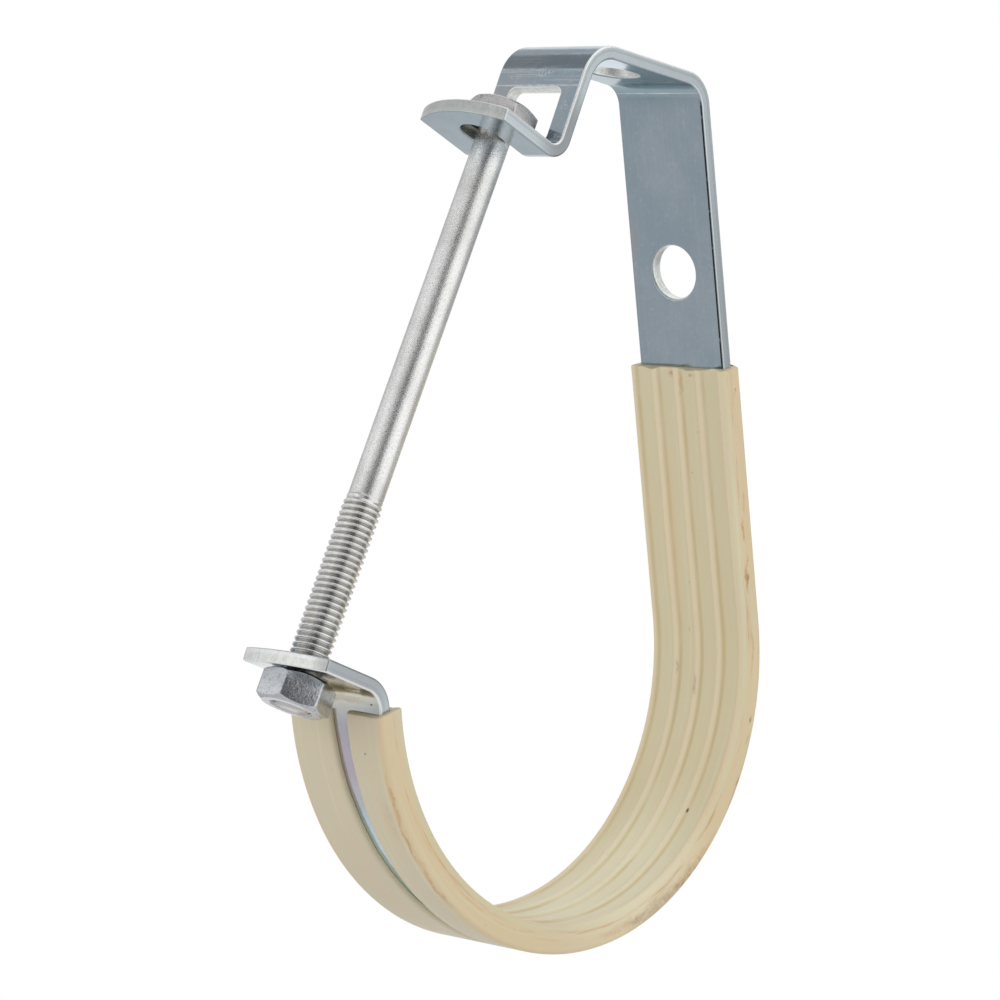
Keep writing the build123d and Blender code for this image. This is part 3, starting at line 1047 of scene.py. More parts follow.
class Strap:
    """The steel strip: a blank with rounded edges, folded at four bends and rolled into the J."""

    side_round = 0.48
    tip_round = 0.3
    hole_round = 0.6
    keyhole_round = 0.42
    edge_steps = 5
    grid_margin = 1.2
    grid_gap = 0.4
    corner_round = 0.3
    corner_reach = 1.0
    keyhole_corner_round = 0.65
    lower_corner_share = 0.75
    window_lift = 0.7
    round_end_share = 0.999
    fine_step = 0.35
    hole_points, lower_hole_points = 96, 72
    long_step = 3.0
    bend_step = 2.5
    across_count = 9
    tip_count = 41
    corner_points = 6

    def __init__(self, sizes: StrapSizes, bolt_angle: float) -> None:
        """Work out the strip line and the places along it.

        Args:
            sizes: sizes of the strip.
            bolt_angle: lean of the bolt, in degrees above the X axis.
        """
        self.sizes = sizes
        ear_heading = bolt_angle - 90
        leg_heading = 90 - sizes.front_leg_angle
        ear_turn = leg_heading - ear_heading
        back_turn = leg_heading
        ear_cut = sizes.ear_corner_radius * tan(radians(ear_turn) / 2)
        front_cut = sizes.front_corner_radius * tan(radians(back_turn) / 2)
        plate_to_leg = 90 - sizes.leg_angle
        back_cut = sizes.back_corner_radius * tan(radians(plate_to_leg) / 2)
        ear_length = sizes.upper_tip_beyond_bolt + sizes.ear_corner_to_bolt
        runs = [
            Run(ear_length - ear_cut),
            Run.arc(sizes.ear_corner_radius, ear_turn),
            Run(sizes.front_leg_length - ear_cut - front_cut),
            Run.arc(sizes.front_corner_radius, -back_turn),
            Run(sizes.rod_to_front_corner + sizes.rod_to_back_corner - front_cut - back_cut),
            Run.arc(sizes.back_corner_radius, -plate_to_leg),
            Run(sizes.leg_length - back_cut),
            Run.arc(sizes.back_curve_radius, -sizes.back_curve_angle),
            Run.arc(sizes.front_curve_radius, -sizes.front_curve_angle),
            Run.arc(sizes.lower_bend_radius, sizes.lower_bend_angle),
            Run(sizes.lower_bend_to_hole + sizes.lower_tip_beyond_hole),
        ]
        ends = np.cumsum([run.length for run in runs])
        self.rod_at = ends[3] + sizes.rod_to_front_corner - front_cut
        self.line = StripLine(runs, ear_heading, self.rod_at)
        self.side_hole_at = ends[5] + sizes.side_hole_from_corner - back_cut
        self.lower_hole_at = ends[9] + sizes.lower_bend_to_hole
        self.leg_corner_at = ends[5] - back_cut
        self.front_bend_at = ends[2]
        self.back_bend_at = (ends[4] + ends[5]) / 2
        self.curve_end_at = ends[8]
        self.slot_end_at = sizes.upper_tip_beyond_bolt - sizes.slot_beyond_bolt + sizes.slot_width / 2
        below_tangent = ear_cut - sizes.window_above_ear_corner
        window_turn = np.arcsin(below_tangent / sizes.ear_corner_radius)
        self.window_bottom_at = ends[1] - sizes.ear_corner_radius * window_turn + self.window_lift
        self.window_top_at = ends[1] + sizes.front_leg_length - ear_cut - sizes.window_from_front_corner

    @staticmethod
    def tip_fall(across: float | Array, radius: float, inset: float) -> Array:
        """How far back from the strip's end a tip's arc lies: its radius less the arc's height there."""
        return radius - np.sqrt((radius - inset) ** 2 - np.square(across))

    def blank_outline(self, share: float) -> Array:
        """Outline of the flat strip, set in by a share of its edges' radii.

        Two straight sides, an arc across each end, and four small corners, each a curve drawn to
        its corner point. Each share gives the same number of points in the same order.

        Args:
            share: zero for the outline itself, one for where the flat face begins.

        Returns:
            Points along and across, anticlockwise from the near side's upper end.
        """
        sizes = self.sizes
        inset = self.tip_round * share
        half = sizes.width / 2 - self.side_round * share
        ease = max(self.corner_round - self.side_round * share, 0.02)
        length = self.line.length
        first = self.tip_fall(half, sizes.upper_tip_radius, inset)
        last = length - self.tip_fall(half, sizes.lower_tip_radius, inset)
        eased_first = self.tip_fall(half - ease, sizes.upper_tip_radius, inset)
        eased_last = length - self.tip_fall(half - ease, sizes.lower_tip_radius, inset)
        across = np.linspace(-1, 1, self.tip_count) * (sizes.width / 2 - self.corner_reach)
        tip = np.column_stack((self.tip_fall(across, sizes.upper_tip_radius, inset), across))
        heel = np.column_stack((length - self.tip_fall(across, sizes.lower_tip_radius, inset), across))
        side = self.side_stations()
        turn = np.linspace(0, 1, self.corner_points)[:, None]

        def corner(start: tuple, point: tuple, end: tuple) -> Array:
            """Curve from start to end, drawn to the corner point: two squares and twice a product."""
            start, point, end = np.array(start), np.array(point), np.array(end)
            return (1 - turn) ** 2 * start + 2 * turn * (1 - turn) * point + turn**2 * end

        return np.concatenate(
            (
                np.column_stack((side, np.full_like(side, -half))),
                corner((last - ease, -half), (last, -half), (eased_last, ease - half)),
                heel,
                corner((eased_last, half - ease), (last, half), (last - ease, half)),
                np.column_stack((side[::-1], np.full_like(side, half))),
                corner((first + ease, half), (first, half), (eased_first, half - ease)),
                tip[::-1],
                corner((eased_first, ease - half), (first, -half), (first + ease, -half)),
            )
        )

    def side_stations(self) -> Array:
        """Lengths where the long sides have a point, clear of the corners."""
        sizes = self.sizes
        half = sizes.width / 2
        start = self.tip_fall(half, sizes.upper_tip_radius, 0.0) + self.corner_reach
        end = self.line.length - self.tip_fall(half, sizes.lower_tip_radius, 0.0) - self.corner_reach
        side = self.line.stations(0.0, self.line.length, self.long_step, self.bend_step)
        return side[(side > start) & (side < end)]

    def tip_shares(self) -> Array:
        """Share of tip at each point of the blank's outline: none on the sides, all on the tips."""
        count = len(self.side_stations())
        rise = np.linspace(0, 1, self.corner_points)
        side, tip = np.zeros(count), np.ones(self.tip_count)
        return np.concatenate((side, rise, tip, rise[::-1], side, rise, tip, rise[::-1]))

    def keyhole_outline(self) -> Array:
        """Outline of the keyhole in the flat strip: the slot with its round end, then the window."""
        sizes = self.sizes
        slot, window = sizes.slot_width / 2, sizes.window_width / 2
        slot_start = self.slot_end_at - slot
        points = np.array(
            [
                (slot_start, -slot),
                (self.window_bottom_at, -slot),
                (self.window_bottom_at, -window),
                (self.window_top_at, -window),
                (self.window_top_at, window),
                (self.window_bottom_at, window),
                (self.window_bottom_at, slot),
                (slot_start, slot),
            ]
        )
        lower = (window - slot) * self.lower_corner_share
        upper = sizes.window_upper_radius
        eased = self.keyhole_corner_round
        round_end = slot * self.round_end_share
        radii = np.array([round_end, eased, lower, upper, upper, lower, eased, round_end])
        return rounded_outline(points, radii, self.fine_step)

    def edge_turns(self) -> tuple[Array, Array]:
        """Angles of the rings over an edge, in radians, and 1 for the outer half or -1 for the inner."""
        turn = np.linspace(0, pi / 2, self.edge_steps + 1)
        return np.concatenate((turn, turn[::-1])), np.repeat([1.0, -1.0], len(turn))

    def rims(self) -> list["Rim"]:
        """The blank's rim and those of its holes."""
        sizes = self.sizes
        outer = self.blank_outline(0.0)
        tips = self.tip_shares()
        radii = self.side_round * (1 - tips) + self.tip_round * tips
        found = [Rim(outer, closed_normals(outer), radii, tips, self.blank_outline)]
        rounds = (
            (self.rod_at, sizes.rod_hole, self.hole_points),
            (self.side_hole_at, sizes.side_hole, self.hole_points),
            (self.lower_hole_at, sizes.lower_hole, self.lower_hole_points),
        )
        holes = [(circle_outline(at, size / 2, count), self.hole_round) for at, size, count in rounds]
        holes.append((self.keyhole_outline(), self.keyhole_round))
        for outline, radius in holes:
            loop = self.anticlockwise(outline)[::-1]
            even = np.ones(len(loop))
            found.append(Rim(loop, closed_normals(loop), even * radius, even))
        return found

    def surface(self) -> Surface:
        """The strip's whole surface, folded.

        The flat faces are a triangulation between the rims, set in by the edge's radius. Over each
        rim a ring at the angle t is set in by the radius times (1 - sin t), and lies below the face
        by the radius times (1 - cos t).
        """
        rims = self.rims()
        set_in = [rim.ring(1.0) for rim in rims]
        flat = np.concatenate((*set_in, self.inner_grid(set_in)))
        faces = self.flat_faces(flat, set_in)
        half = self.sizes.thickness / 2
        count = len(flat)
        side = np.repeat([1.0, -1.0], count)
        zero = np.zeros(2 * count)
        blank = [np.column_stack((np.tile(flat, (2, 1)), side * half))]
        lean = [np.column_stack((zero, zero, side))]
        values = [np.column_stack((side, zero, zero))]
        quads = [faces, faces[:, ::-1] + count]
        start = 2 * count
        turns, sides = self.edge_turns()
        for rim in rims:
            size = len(rim.outline)
            for turn, which in zip(turns, sides):
                height = which * (half - rim.radii * (1 - cos(turn)))
                blank.append(np.column_stack((rim.ring(1 - sin(turn)), height)))
                lean.append(np.column_stack((rim.normals * sin(turn), np.full(size, which * cos(turn)))))
                values.append(np.column_stack((height / half, np.full(size, sin(turn)), rim.shear)))
            quads.append(ring_faces(len(turns), size)[:, ::-1] + start)
            start += len(turns) * size
        s, y, n = np.concatenate(blank).T
        height, wall, sheared = np.concatenate(values).T
        return Surface(
            points=self.line.fold(s, y, n),
            faces=[face for group in quads for face in group],
            normals=self.line.fold_direction(s, np.concatenate(lean)),
            uv=np.stack((s, y), axis=-1),
            marks={"height": height, "wall": wall, "sheared": sheared},
        )

    def inner_grid(self, outlines: list[Array]) -> Array:
        """Points inside the flat face, in rows across the strip, clear of every outline.

        Args:
            outlines: the blank's outline and then those of the holes.

        Returns:
            Points along and across.
        """
        stations = self.line.stations(1.0, self.line.length - 1.0, self.long_step, self.bend_step)
        across = np.linspace(-1, 1, self.across_count) * (self.sizes.width / 2 - self.grid_margin)
        grid = np.stack(np.meshgrid(stations, across, indexing="ij"), axis=-1).reshape(-1, 2)
        keep = inside(grid, outlines[0])
        for hole in outlines[1:]:
            keep &= ~inside(grid, hole)
        grid = grid[keep]
        edge_points = np.concatenate(outlines)
        gap = np.linalg.norm(grid[:, None] - edge_points[None], axis=-1).min(axis=1)
        return grid[gap > self.grid_gap]

    @staticmethod
    def anticlockwise(loop: Array) -> Array:
        """The same outline, turned round if its area is negative."""
        ahead = np.roll(loop, -1, axis=0)
        area = np.sum(loop[:, 0] * ahead[:, 1] - ahead[:, 0] * loop[:, 1])
        return loop if area > 0 else loop[::-1]

    @staticmethod
    def flat_faces(flat: Array, loops: list[Array]) -> Array:
        """Triangles between the outlines, with the holes left open.

        Args:
            flat: points of the flat strip, the outlines' first and in order.
            loops: the outer outline and then the holes.

        Returns:
            Three point numbers for each triangle, anticlockwise seen from outside.
        """
        edges = []
        start = 0
        for loop in loops:
            numbers = np.arange(len(loop)) + start
            edges.append(np.stack((numbers, np.roll(numbers, -1)), axis=-1))
            start += len(loop)
        pairs = np.concatenate(edges).tolist()
        result = delaunay_2d_cdt([Vector(point) for point in flat.tolist()], pairs, [], 0, 1e-6, True)
        found, triangles = np.array([tuple(v) for v in result[0]]), np.array(result[2])
        first = np.array([origin[0] for origin in result[3]])
        middle = found[triangles].mean(axis=1)
        keep = inside(middle, loops[0])
        for loop in loops[1:]:
            keep &= ~inside(middle, loop)
        triangles = triangles[keep]
        a, b, c = (found[triangles[:, number]] for number in range(3))
        area = (b - a)[:, 0] * (c - a)[:, 1] - (b - a)[:, 1] * (c - a)[:, 0]
        triangles[area < 0] = triangles[area < 0][:, ::-1]
        return first[triangles]

    def marks(self) -> StripMarks:
        """Where the strip is scratched, stained and pressed, and where light and shade are painted on
        it, from its bends and holes.
        """
        half = self.sizes.width / 2
        front = self.front_bend_at
        window = self.window_top_at
        lower = self.curve_end_at
        return StripMarks(
            # A painted shade line along the leg's near inner arris.
            seam_start=self.leg_corner_at + 2.6,
            seam_end=self.leg_corner_at + 57.0,
            seam_across=-half + 0.36,
            crossed=(Spot(front - 1.0, 0.0, 4.2, 20.0, 0.55), Spot(front + 3.0, 0.0, 2.5, 20.0, 0.25)),
            scribbles=(
                Spot(front + 0.1, -0.8, 1.8, 3.4, 0.55),
                Spot(front - 0.8, 6.5, 1.2, 2.6, 0.3),
                Spot(window - 4.0, -9.2, 2.4, 1.2, 0.35),
            ),
            press_lines=(
                Spot(window + 0.55, 0.0, 0.3, 22.0, 0.75),
                Spot(self.back_bend_at + 0.5, 0.0, 0.28, 20.0, 0.9),
                Spot(lower + 2.85, -5.6, 0.24, 7.5, 0.9),
                Spot(lower + 0.6, -5.0, 0.24, 6.5, 0.6),
            ),
            specks=(Spot(lower + 1.2, -9.2, 0.32, 0.42, 1.0), Spot(front + 2.0, 4.0, 0.12, 0.2, 0.6)),
            patches=self.patches(),
            rim_speck=Spot(self.side_hole_at + 0.2, -self.sizes.side_hole / 2 - 0.05, 0.9, 0.26, 1.0),
        )

    def patches(self) -> tuple[Patch, ...]:
        """Tinted patches of the strip. Most are painted light: reflections of the liner round the lower
        bend and ear, blue and teal reflections on the plate's underside, and painted shade on stretches
        of the cut edges and on the slot's walls. The others are mauve by the inner face's far edge, grey
        round the side hole, and pink and light blue where the strip shows through the liner's seam.
        """
        half = self.sizes.width / 2
        lower, plate, hole = self.curve_end_at, self.rod_at, self.side_hole_at
        pale, pink, blue = (0.97, 0.93, 0.80, 1.0), (0.66, 0.60, 0.68, 1.0), (0.50, 0.64, 0.72, 1.0)
        sky, teal, brown = (0.74, 0.90, 1.0, 1.0), (0.20, 0.30, 0.34, 1.0), (0.38, 0.31, 0.19, 1.0)
        mauve, grey = (0.48, 0.42, 0.42, 1.0), (0.34, 0.34, 0.32, 1.0)
        dull, dark = (0.36, 0.38, 0.39, 1.0), (0.10, 0.11, 0.11, 1.0)
        rows = (
            # Painted reflection and shade from the liner, pale and brown, round the lower bend and ear.
            (Side.OUTER, pale, lower + 8.0, 0.0, 15.0, 22.0, 1.0),
            (Side.OUTER, brown, lower + 6.4, -4.5, 3.2, 7.0, 0.6),
            (Side.OUTER, brown, lower + 2.2, -2.0, 1.6, 9.0, 0.4),
            (Side.OUTER, sky, lower - 46.0, 0.0, 40.0, 9.0, 1.0),
            (Side.OUTER, pink, lower - 12.0, 0.5, 14.0, 7.0, 0.9),
            (Side.INNER, mauve, hole - 6.7, half - 0.9, 5.0, 2.0, 0.45),
            (Side.INNER, grey, hole, 0.4, 7.6, 7.2, 0.4),
            # Painted reflection on the plate's underside, blue and teal.
            (Side.INNER, blue, plate - 9.0, 0.0, 12.0, 18.0, 0.8),
            (Side.INNER, teal, plate + 9.0, 0.0, 13.0, 26.0, 0.9),
            (Side.INNER, blue, plate + 14.5, 0.0, 3.0, 24.0, 0.5),
            # Painted shade on stretches of the cut edges, and dark painted shade on the slot's walls.
            (Side.WALL, dull, self.front_bend_at - 14.0, -half, 12.0, 6.0, 0.85),
            (Side.WALL, dull, lower + 12.0, -half, 18.0, 5.0, 0.7),
            (Side.WALL, dull, hole + 30.0, -half, 70.0, 6.0, 0.4),
            (Side.WALL, dull, 2.0, 0.0, 6.0, 14.0, 0.55),
            (Side.WALL, dark, self.slot_end_at - 1.0, 0.0, 8.0, 7.0, 0.95),
        )
        return tuple(Patch(side, Spot(*spot), tint) for side, tint, *spot in rows)

    def build(self, finish: StripFinish) -> None:
        """Make the strap and let it stand for its node."""
        made = self.surface().to_object("strap")
        place(made, Body.HANGER, Slot.STRIP, "hanger_strap", finish.material(self.marks()))


@dataclass(frozen=True)
class LinerSizes:
    """Sizes of the liner, in millimetres and degrees, as the model has them."""

    clearance: float = 0.05
    floor: float = 1.6
    side: float = 1.15
    flap: float = 1.2
    from_back_corner: float = 60.2
    to_lower_bend: float = 1.05
    rib_count: int = 3
    rib_distance: float = 6.0
    rib_width: float = 1.8
    rib_height: float = 0.55
    lip_width: float = 1.5
    seam_width: float = 1.1
    seam_offset: float = -2.4
    seam_mouth_width: float = 4.5
    seam_mouth_offset: float = 0.7
    seam_mouth_angle: float = 51.0


class Liner:
    """The liner: an open section with ribs and lips, carried along the strip's curve."""

    flap_round = 1.0
    lip_round = 0.8
    seam_round = 0.8
    end_round = 0.22
    long_step = 1.2
    bend_step = 1.2
    floor_points = 151
    shoulder = 0.16
    foot_width = 0.34
    wave_height = 0.05
    near_waves = ((1.0, 0.42, 0.0), (0.6, 1.13, 1.0))
    far_waves = ((1.0, 0.37, 2.0), (0.6, 0.93, 0.0))
    end_waves, end_waves_top = ((1.0, 0.55, 0.6), (0.5, 1.3, 2.0)), 1.5
    front_wave = 0.08
    end_rows = (0.0, 0.06, 0.15, 0.3)
    corner_points = 7
    mouth_stretch = 1.15
    mouth_power = 0.6
    end_wave = 0.28
    sharp_angle = 38.0
    flap_points = 14
    above_floor = 0.1
    end_reach = 2.6
    front_step = 0.95

    def __init__(self, sizes: LinerSizes, strap: Strap) -> None:
        """Take the path from the strap.

        Args:
            sizes: sizes of the liner.
            strap: the strip that it is wrapped round.
        """
        self.sizes = sizes
        self.strap = strap
        self.first = strap.leg_corner_at + sizes.from_back_corner
        self.last = strap.curve_end_at - sizes.to_lower_bend
        self.cavity_half_height = strap.sizes.thickness / 2 + sizes.clearance
        self.cavity_half_width = strap.sizes.width / 2 + sizes.clearance
        self.half_width = self.cavity_half_width + sizes.side
        self.top = self.cavity_half_height + sizes.flap
        self.floor = -self.cavity_half_height - sizes.floor
        self.lowest = self.floor - sizes.rib_height

    def rib_centres(self) -> Array:
        """Places across of the ribs."""
        sizes = self.sizes
        return (np.arange(sizes.rib_count) - (sizes.rib_count - 1) / 2) * sizes.rib_distance

    def floor_height(self, y: Array) -> Array:
        """Height of the face that holds the pipe, above the floor.

        Each rib and lip is a step with a soft shoulder: one over one plus e to the distance past its
        side, over the shoulder's softness.
        """
        sizes = self.sizes
        away = np.abs(y[..., None] - self.rib_centres()).min(axis=-1)
        rib = 1 / (1 + np.exp((away - sizes.rib_width / 2) / self.shoulder))
        from_edge = self.half_width - np.abs(y)
        lip = 1 / (1 + np.exp((from_edge - sizes.lip_width) / self.shoulder))
        return sizes.rib_height * np.maximum(rib, lip)

    def feet(self, y: Array) -> Array:
        """Share of the painted shadow line that runs along the near foot of each rib and of the far lip.
        """
        sizes = self.sizes
        ribs = self.rib_centres() - sizes.rib_width / 2
        feet = np.append(ribs, self.half_width - sizes.lip_width) - self.foot_width * 0.6
        return np.exp(-(((y[..., None] - feet) / self.foot_width) ** 2)).max(axis=-1)

    def seam_edges(self, s: Array) -> tuple[Array, Array]:
        """Places across of the seam's two sides along the liner: a narrow slit that opens into a wedge.

        The wedge's share grows along the mouth from 0 to 1, its width with that share's power, and a
        slow wave roughens each side.
        """
        sizes = self.sizes
        curve = self.strap.sizes.front_curve_radius
        mouth_length = self.mouth_stretch * radians(sizes.seam_mouth_angle) * curve
        share = np.clip((s - (self.last - mouth_length)) / mouth_length, 0, 1)
        middle = sizes.seam_offset + (-sizes.seam_mouth_offset - sizes.seam_offset) * share
        width = sizes.seam_width + (sizes.seam_mouth_width - sizes.seam_width) * share**self.mouth_power
        near, far = (self.wave_height * waves(s, parts) for parts in (self.near_waves, self.far_waves))
        return middle - width / 2 + near, middle + width / 2 + far

    def section(self, s: Array, inset: Array) -> tuple[Array, Array]:
        """Closed section at each length s, as places across and heights, counted outwards.

        It runs along the outer face of one flap, round the side, along the ribbed floor, round the
        other side and flap, and back inside the cavity. Corners are quarter circles.

        Args:
            s: lengths along the strip line, one row each.
            inset: how far the outside is drawn in at each length, which rounds the two ends.

        Returns:
            Places across and heights from the strip's middle, a row of points for each length.
        """
        near, far = self.seam_edges(s)
        ones = np.ones((len(s), 1))
        inset = inset[:, None]
        top, bottom, w = self.top - inset, self.lowest + inset, self.half_width - inset
        cavity, inner = self.cavity_half_height, self.cavity_half_width
        flap_round, lip_round, seam_round = self.flap_round, self.lip_round, self.seam_round
        turn = np.linspace(0, pi / 2, self.corner_points)[None]
        share = np.linspace(0, 1, self.flap_points)[None]

        def flap(edge: Array, side: float, reverse: bool) -> tuple[Array, Array]:
            """Straight face of a flap between its edge and its side."""
            start, end = edge[:, None] + side * seam_round, side * (w - flap_round)
            places = start + (end - start) * share
            return (places[:, ::-1] if reverse else places), top * np.ones_like(places)

        def corner(
            centre_y: Array, centre_n: Array, start: float, radius: float
        ) -> tuple[Array, Array]:
            """Quarter circle round a corner's centre, anticlockwise from a start angle."""
            angle = start + turn
            return centre_y + radius * np.cos(angle) * ones, centre_n + radius * np.sin(angle) * ones

        floor_y = np.linspace(-1, 1, self.floor_points)[None] * (w - lip_round)
        floor_n = self.floor + inset - self.floor_height(floor_y * self.half_width / w)
        pieces = [
            flap(near, -1, False),
            corner(-(w - flap_round), top - flap_round, pi / 2, flap_round),
            corner(-(w - lip_round), bottom + lip_round, pi, lip_round),
            (floor_y[:, 1:-1], floor_n[:, 1:-1]),
            corner(w - lip_round, bottom + lip_round, -pi / 2, lip_round),
            corner(w - flap_round, top - flap_round, 0.0, flap_round),
            flap(far, 1, True),
            corner(far[:, None] + seam_round, top - seam_round, pi / 2, seam_round),
            (far[:, None] * ones, ones * cavity),
            (ones * inner, ones * cavity),
            (ones * inner, ones * -cavity),
            (ones * -inner, ones * -cavity),
            (ones * -inner, ones * cavity),
            (near[:, None] * ones, ones * cavity),
            corner(near[:, None] - seam_round, top - seam_round, 0.0, seam_round),
        ]
        return (
            np.concatenate([piece[0] for piece in pieces], axis=1),
            np.concatenate([piece[1] for piece in pieces], axis=1),
        )

    def round_wall(self, across: Array, height: Array) -> Array:
        """Distance round the wall from the near flap's corner, with the ribs' own relief left out."""
        move, rise = np.diff(across, axis=1), np.diff(height, axis=1)
        on_floor = height < self.floor + self.above_floor
        flat = on_floor[:, 1:] & on_floor[:, :-1]
        steps = np.where(flat, np.abs(move), np.hypot(move, rise))
        total = np.concatenate((np.zeros((len(across), 1)), np.cumsum(steps, axis=1)), axis=1)
        return total - total[:, self.flap_points : self.flap_points + 1]

    def side_at(self, height: float) -> float:
        """Place round the wall of a height on the near side."""
        return self.flap_round * pi / 2 + self.top - self.flap_round - height

    def floor_at(self, y: float) -> float:
        """Place round the wall of a place across on the pipe's side."""
        corner_end = self.side_at(self.lowest + self.lip_round) + self.lip_round * pi / 2
        return corner_end + y + self.half_width - self.lip_round

    def flap_at(self, y: float) -> float:
        """Place round the wall of a place across on the near flap."""
        return -(y + self.half_width - self.flap_round)

    def drift(self, s: Array, across: Array, height: Array) -> Array:
        """How far each point of an end is moved along: the cut ends are not quite straight.

        Both ends wave across the width, and at the front the pipe's side stands a little beyond the
        flaps. The move fades with the distance from the end.
        """
        from_first = np.exp(-(s - self.first) / self.end_reach)
        from_last = np.exp(-(self.last - s) / self.end_reach)
        wave = waves(across, self.end_waves)
        inward = np.clip((self.top - height) / (self.top - self.floor), 0, 1)
        top_end = self.end_wave * (wave - self.end_waves_top)
        front_end = self.front_step * (inward - 1) - self.front_wave * (wave + self.end_waves_top)
        return -top_end * from_first + (front_end + self.front_step) * from_last

    def surface(self) -> Surface:
        """The liner's surface: the section at each station, closed by a face at both ends."""
        stations = self.strap.line.stations(self.first, self.last, self.long_step, self.bend_step)
        rounding = np.array(self.end_rows)
        stations = np.unique(np.concatenate((stations, self.first + rounding, self.last - rounding)))
        from_end = np.minimum(stations - self.first, self.last - stations)
        near_end = np.clip(1 - from_end / rounding[-1], 0, 1)
        inset = self.end_round * (1 - np.sqrt(1 - near_end**2))
        across, height = self.section(stations, inset)
        rows, columns = across.shape
        s = np.broadcast_to(stations[:, None], across.shape)
        moved = s + self.drift(s, across, height)
        points = self.strap.line.fold(moved, across, height).reshape(-1, 3)
        faces = ring_faces(rows, columns)
        ends = [range(columns)[::-1], range((rows - 1) * columns, rows * columns)]
        on_floor = height < self.floor + self.above_floor
        outside = height > self.cavity_half_height + self.above_floor
        return Surface(
            points=points,
            faces=[*faces, *ends],
            uv=np.stack((s, self.round_wall(across, height)), axis=-1).reshape(-1, 2),
            marks={
                # The share of rib, which the finish paints lighter as a highlight.
                "rise": np.clip((self.floor - height) / self.sizes.rib_height, 0, 1).reshape(-1),
                # The painted shadow line at the near foot of each rib and of the far lip.
                "foot": (self.feet(across) * on_floor).reshape(-1),
                "outside": outside.astype(float).reshape(-1),
            },
            sharp_angle=self.sharp_angle,
        )

    def marks(self) -> LinerMarks:
        """Stains, specks and a pool of painted light, by their distance from the upper end and their
        place round the wall.
        """
        side, floor, flap = self.side_at, self.floor_at, self.flap_at
        rust = (
            (29.0, side(0.4), 3.4, 0.45, 0.55),
            (35.4, side(-0.6), 3.6, 0.5, 0.8),
            (45.8, side(-0.6), 4.2, 0.8, 0.9),
            (42.0, side(-0.2), 2.0, 0.5, 0.6),
            (61.0, side(-0.6), 8.0, 0.6, 0.35),
            (92.0, side(1.8), 7.0, 0.8, 0.45),
            (112.0, side(1.4), 12.0, 1.4, 0.45),
            (137.0, side(0.2), 9.0, 1.6, 0.3),
            (217.0, flap(-12.0), 7.0, 0.55, 0.6),
            (208.0, flap(-11.6), 8.0, 0.6, 0.65),
            (196.0, flap(-12.2), 9.0, 0.55, 0.5),
            (212.0, flap(-9.6), 7.0, 2.0, 0.18),
            (1.0, floor(1.6), 0.9, 0.9, 0.8),
            (1.2, floor(-3.9), 0.8, 0.8, 0.8),
            (3.5, floor(-1.0), 4.0, 0.5, 0.3),
        )
        grime = (
            (46.6, side(-0.4), 1.6, 0.35, 0.5),
            (5.5, side(0.7), 1.0, 0.35, 0.6),
            (67.3, floor(5.5), 2.4, 0.6, 0.4),
            (70.7, floor(0.1), 3.0, 0.8, 0.45),
            (77.0, side(0.6), 1.6, 0.5, 0.6),
            (81.5, side(1.0), 2.2, 0.4, 0.5),
            (90.0, side(1.6), 1.5, 0.4, 0.5),
            (121.0, side(1.4), 16.0, 2.4, 0.38),
            (131.0, side(0.3), 5.0, 0.8, 0.3),
        )
        specks = (
            (100.6, floor(-7.3), 0.9, 0.3, 0.9),
            (226.0, flap(-7.3), 0.28, 0.3, 0.9),
            (14.0, floor(-4.6), 0.2, 0.2, 0.5),
            (47.5, floor(1.2), 0.2, 0.2, 0.4),
            (58.1, floor(2.2), 0.9, 0.18, 0.3),
            (23.0, floor(-2.2), 0.25, 0.2, 0.5),
        )
        tables = (rust, grime, specks)
        spots = ([Spot(self.first + along, *rest) for along, *rest in rows] for rows in tables)
        dirty_line = side(self.lowest + self.lip_round + 1.4)
        # The last spot is a pool of painted light on the floor, low in the J.
        return LinerMarks(*spots, dirty_line, Spot(self.first + 128.0, floor(-2.0), 40.0, 22.0, 0.75))

    def build(self, finish: LinerFinish) -> None:
        """Make the liner and let it stand for its node."""
        made = self.surface().to_object("liner")
        place(made, Body.HANGER, Slot.LINER, "pipe_liner", finish.material(self.marks()))


@dataclass(frozen=True)
class BoltSizes:
    """Sizes of the bolt and its nut, in millimetres and degrees, as the model has them."""

    shank: float = 7.1
    thread: float = 7.9
    thread_root: float = 6.65
    pitch: float = 1.25
    thread_length: float = 44.0
    thread_end_chamfer: float = 0.8
    across_flats: float = 13.0
    hexagon_chamfer: float = 1.5
    hexagon_chamfer_angle: float = 30.0
    head_height: float = 5.3
    head_turn_angle: float = 1.6
    washer_face: float = 12.2
    washer_face_height: float = 0.5
    nut_height: float = 6.5
    nut_turn_angle: float = 22.4
    nut_bore_clearance: float = 0.05


class BoltFrame:
    """Directions and heights along the bolt's axis."""

    def __init__(self, origin: Array, up: Array) -> None:
        """Keep the axis, with one direction out along the ear and one across.

        Args:
            origin: a point of the axis, in millimetres.
            up: unit vector up the bolt.
        """
        self.origin = origin
        self.up = up
        self.out = np.array([-up[2], 0.0, up[0]])
        self.side = np.array([0.0, -1.0, 0.0])

    def place(self, angle: Array, radius: Array, height: Array) -> Array:
        """Points at an angle round the axis, a radius and a height."""
        outward = np.cos(angle)[..., None] * self.out + np.sin(angle)[..., None] * self.side
        return self.origin + radius[..., None] * outward + height[..., None] * self.up


def hexagon_radius(angle: Array, across_flats: float, turn: float, softness: float) -> Array:
    """Radius of a hexagon with softened corners: the apothem over the smooth maximum of six cosines."""
    facing = np.radians(turn + 30 + 60 * np.arange(6))
    leaning = np.clip(np.cos(angle[..., None] - facing), 1e-6, None)
    largest = (leaning**softness).sum(axis=-1) ** (1 / softness)
    return across_flats / 2 / largest


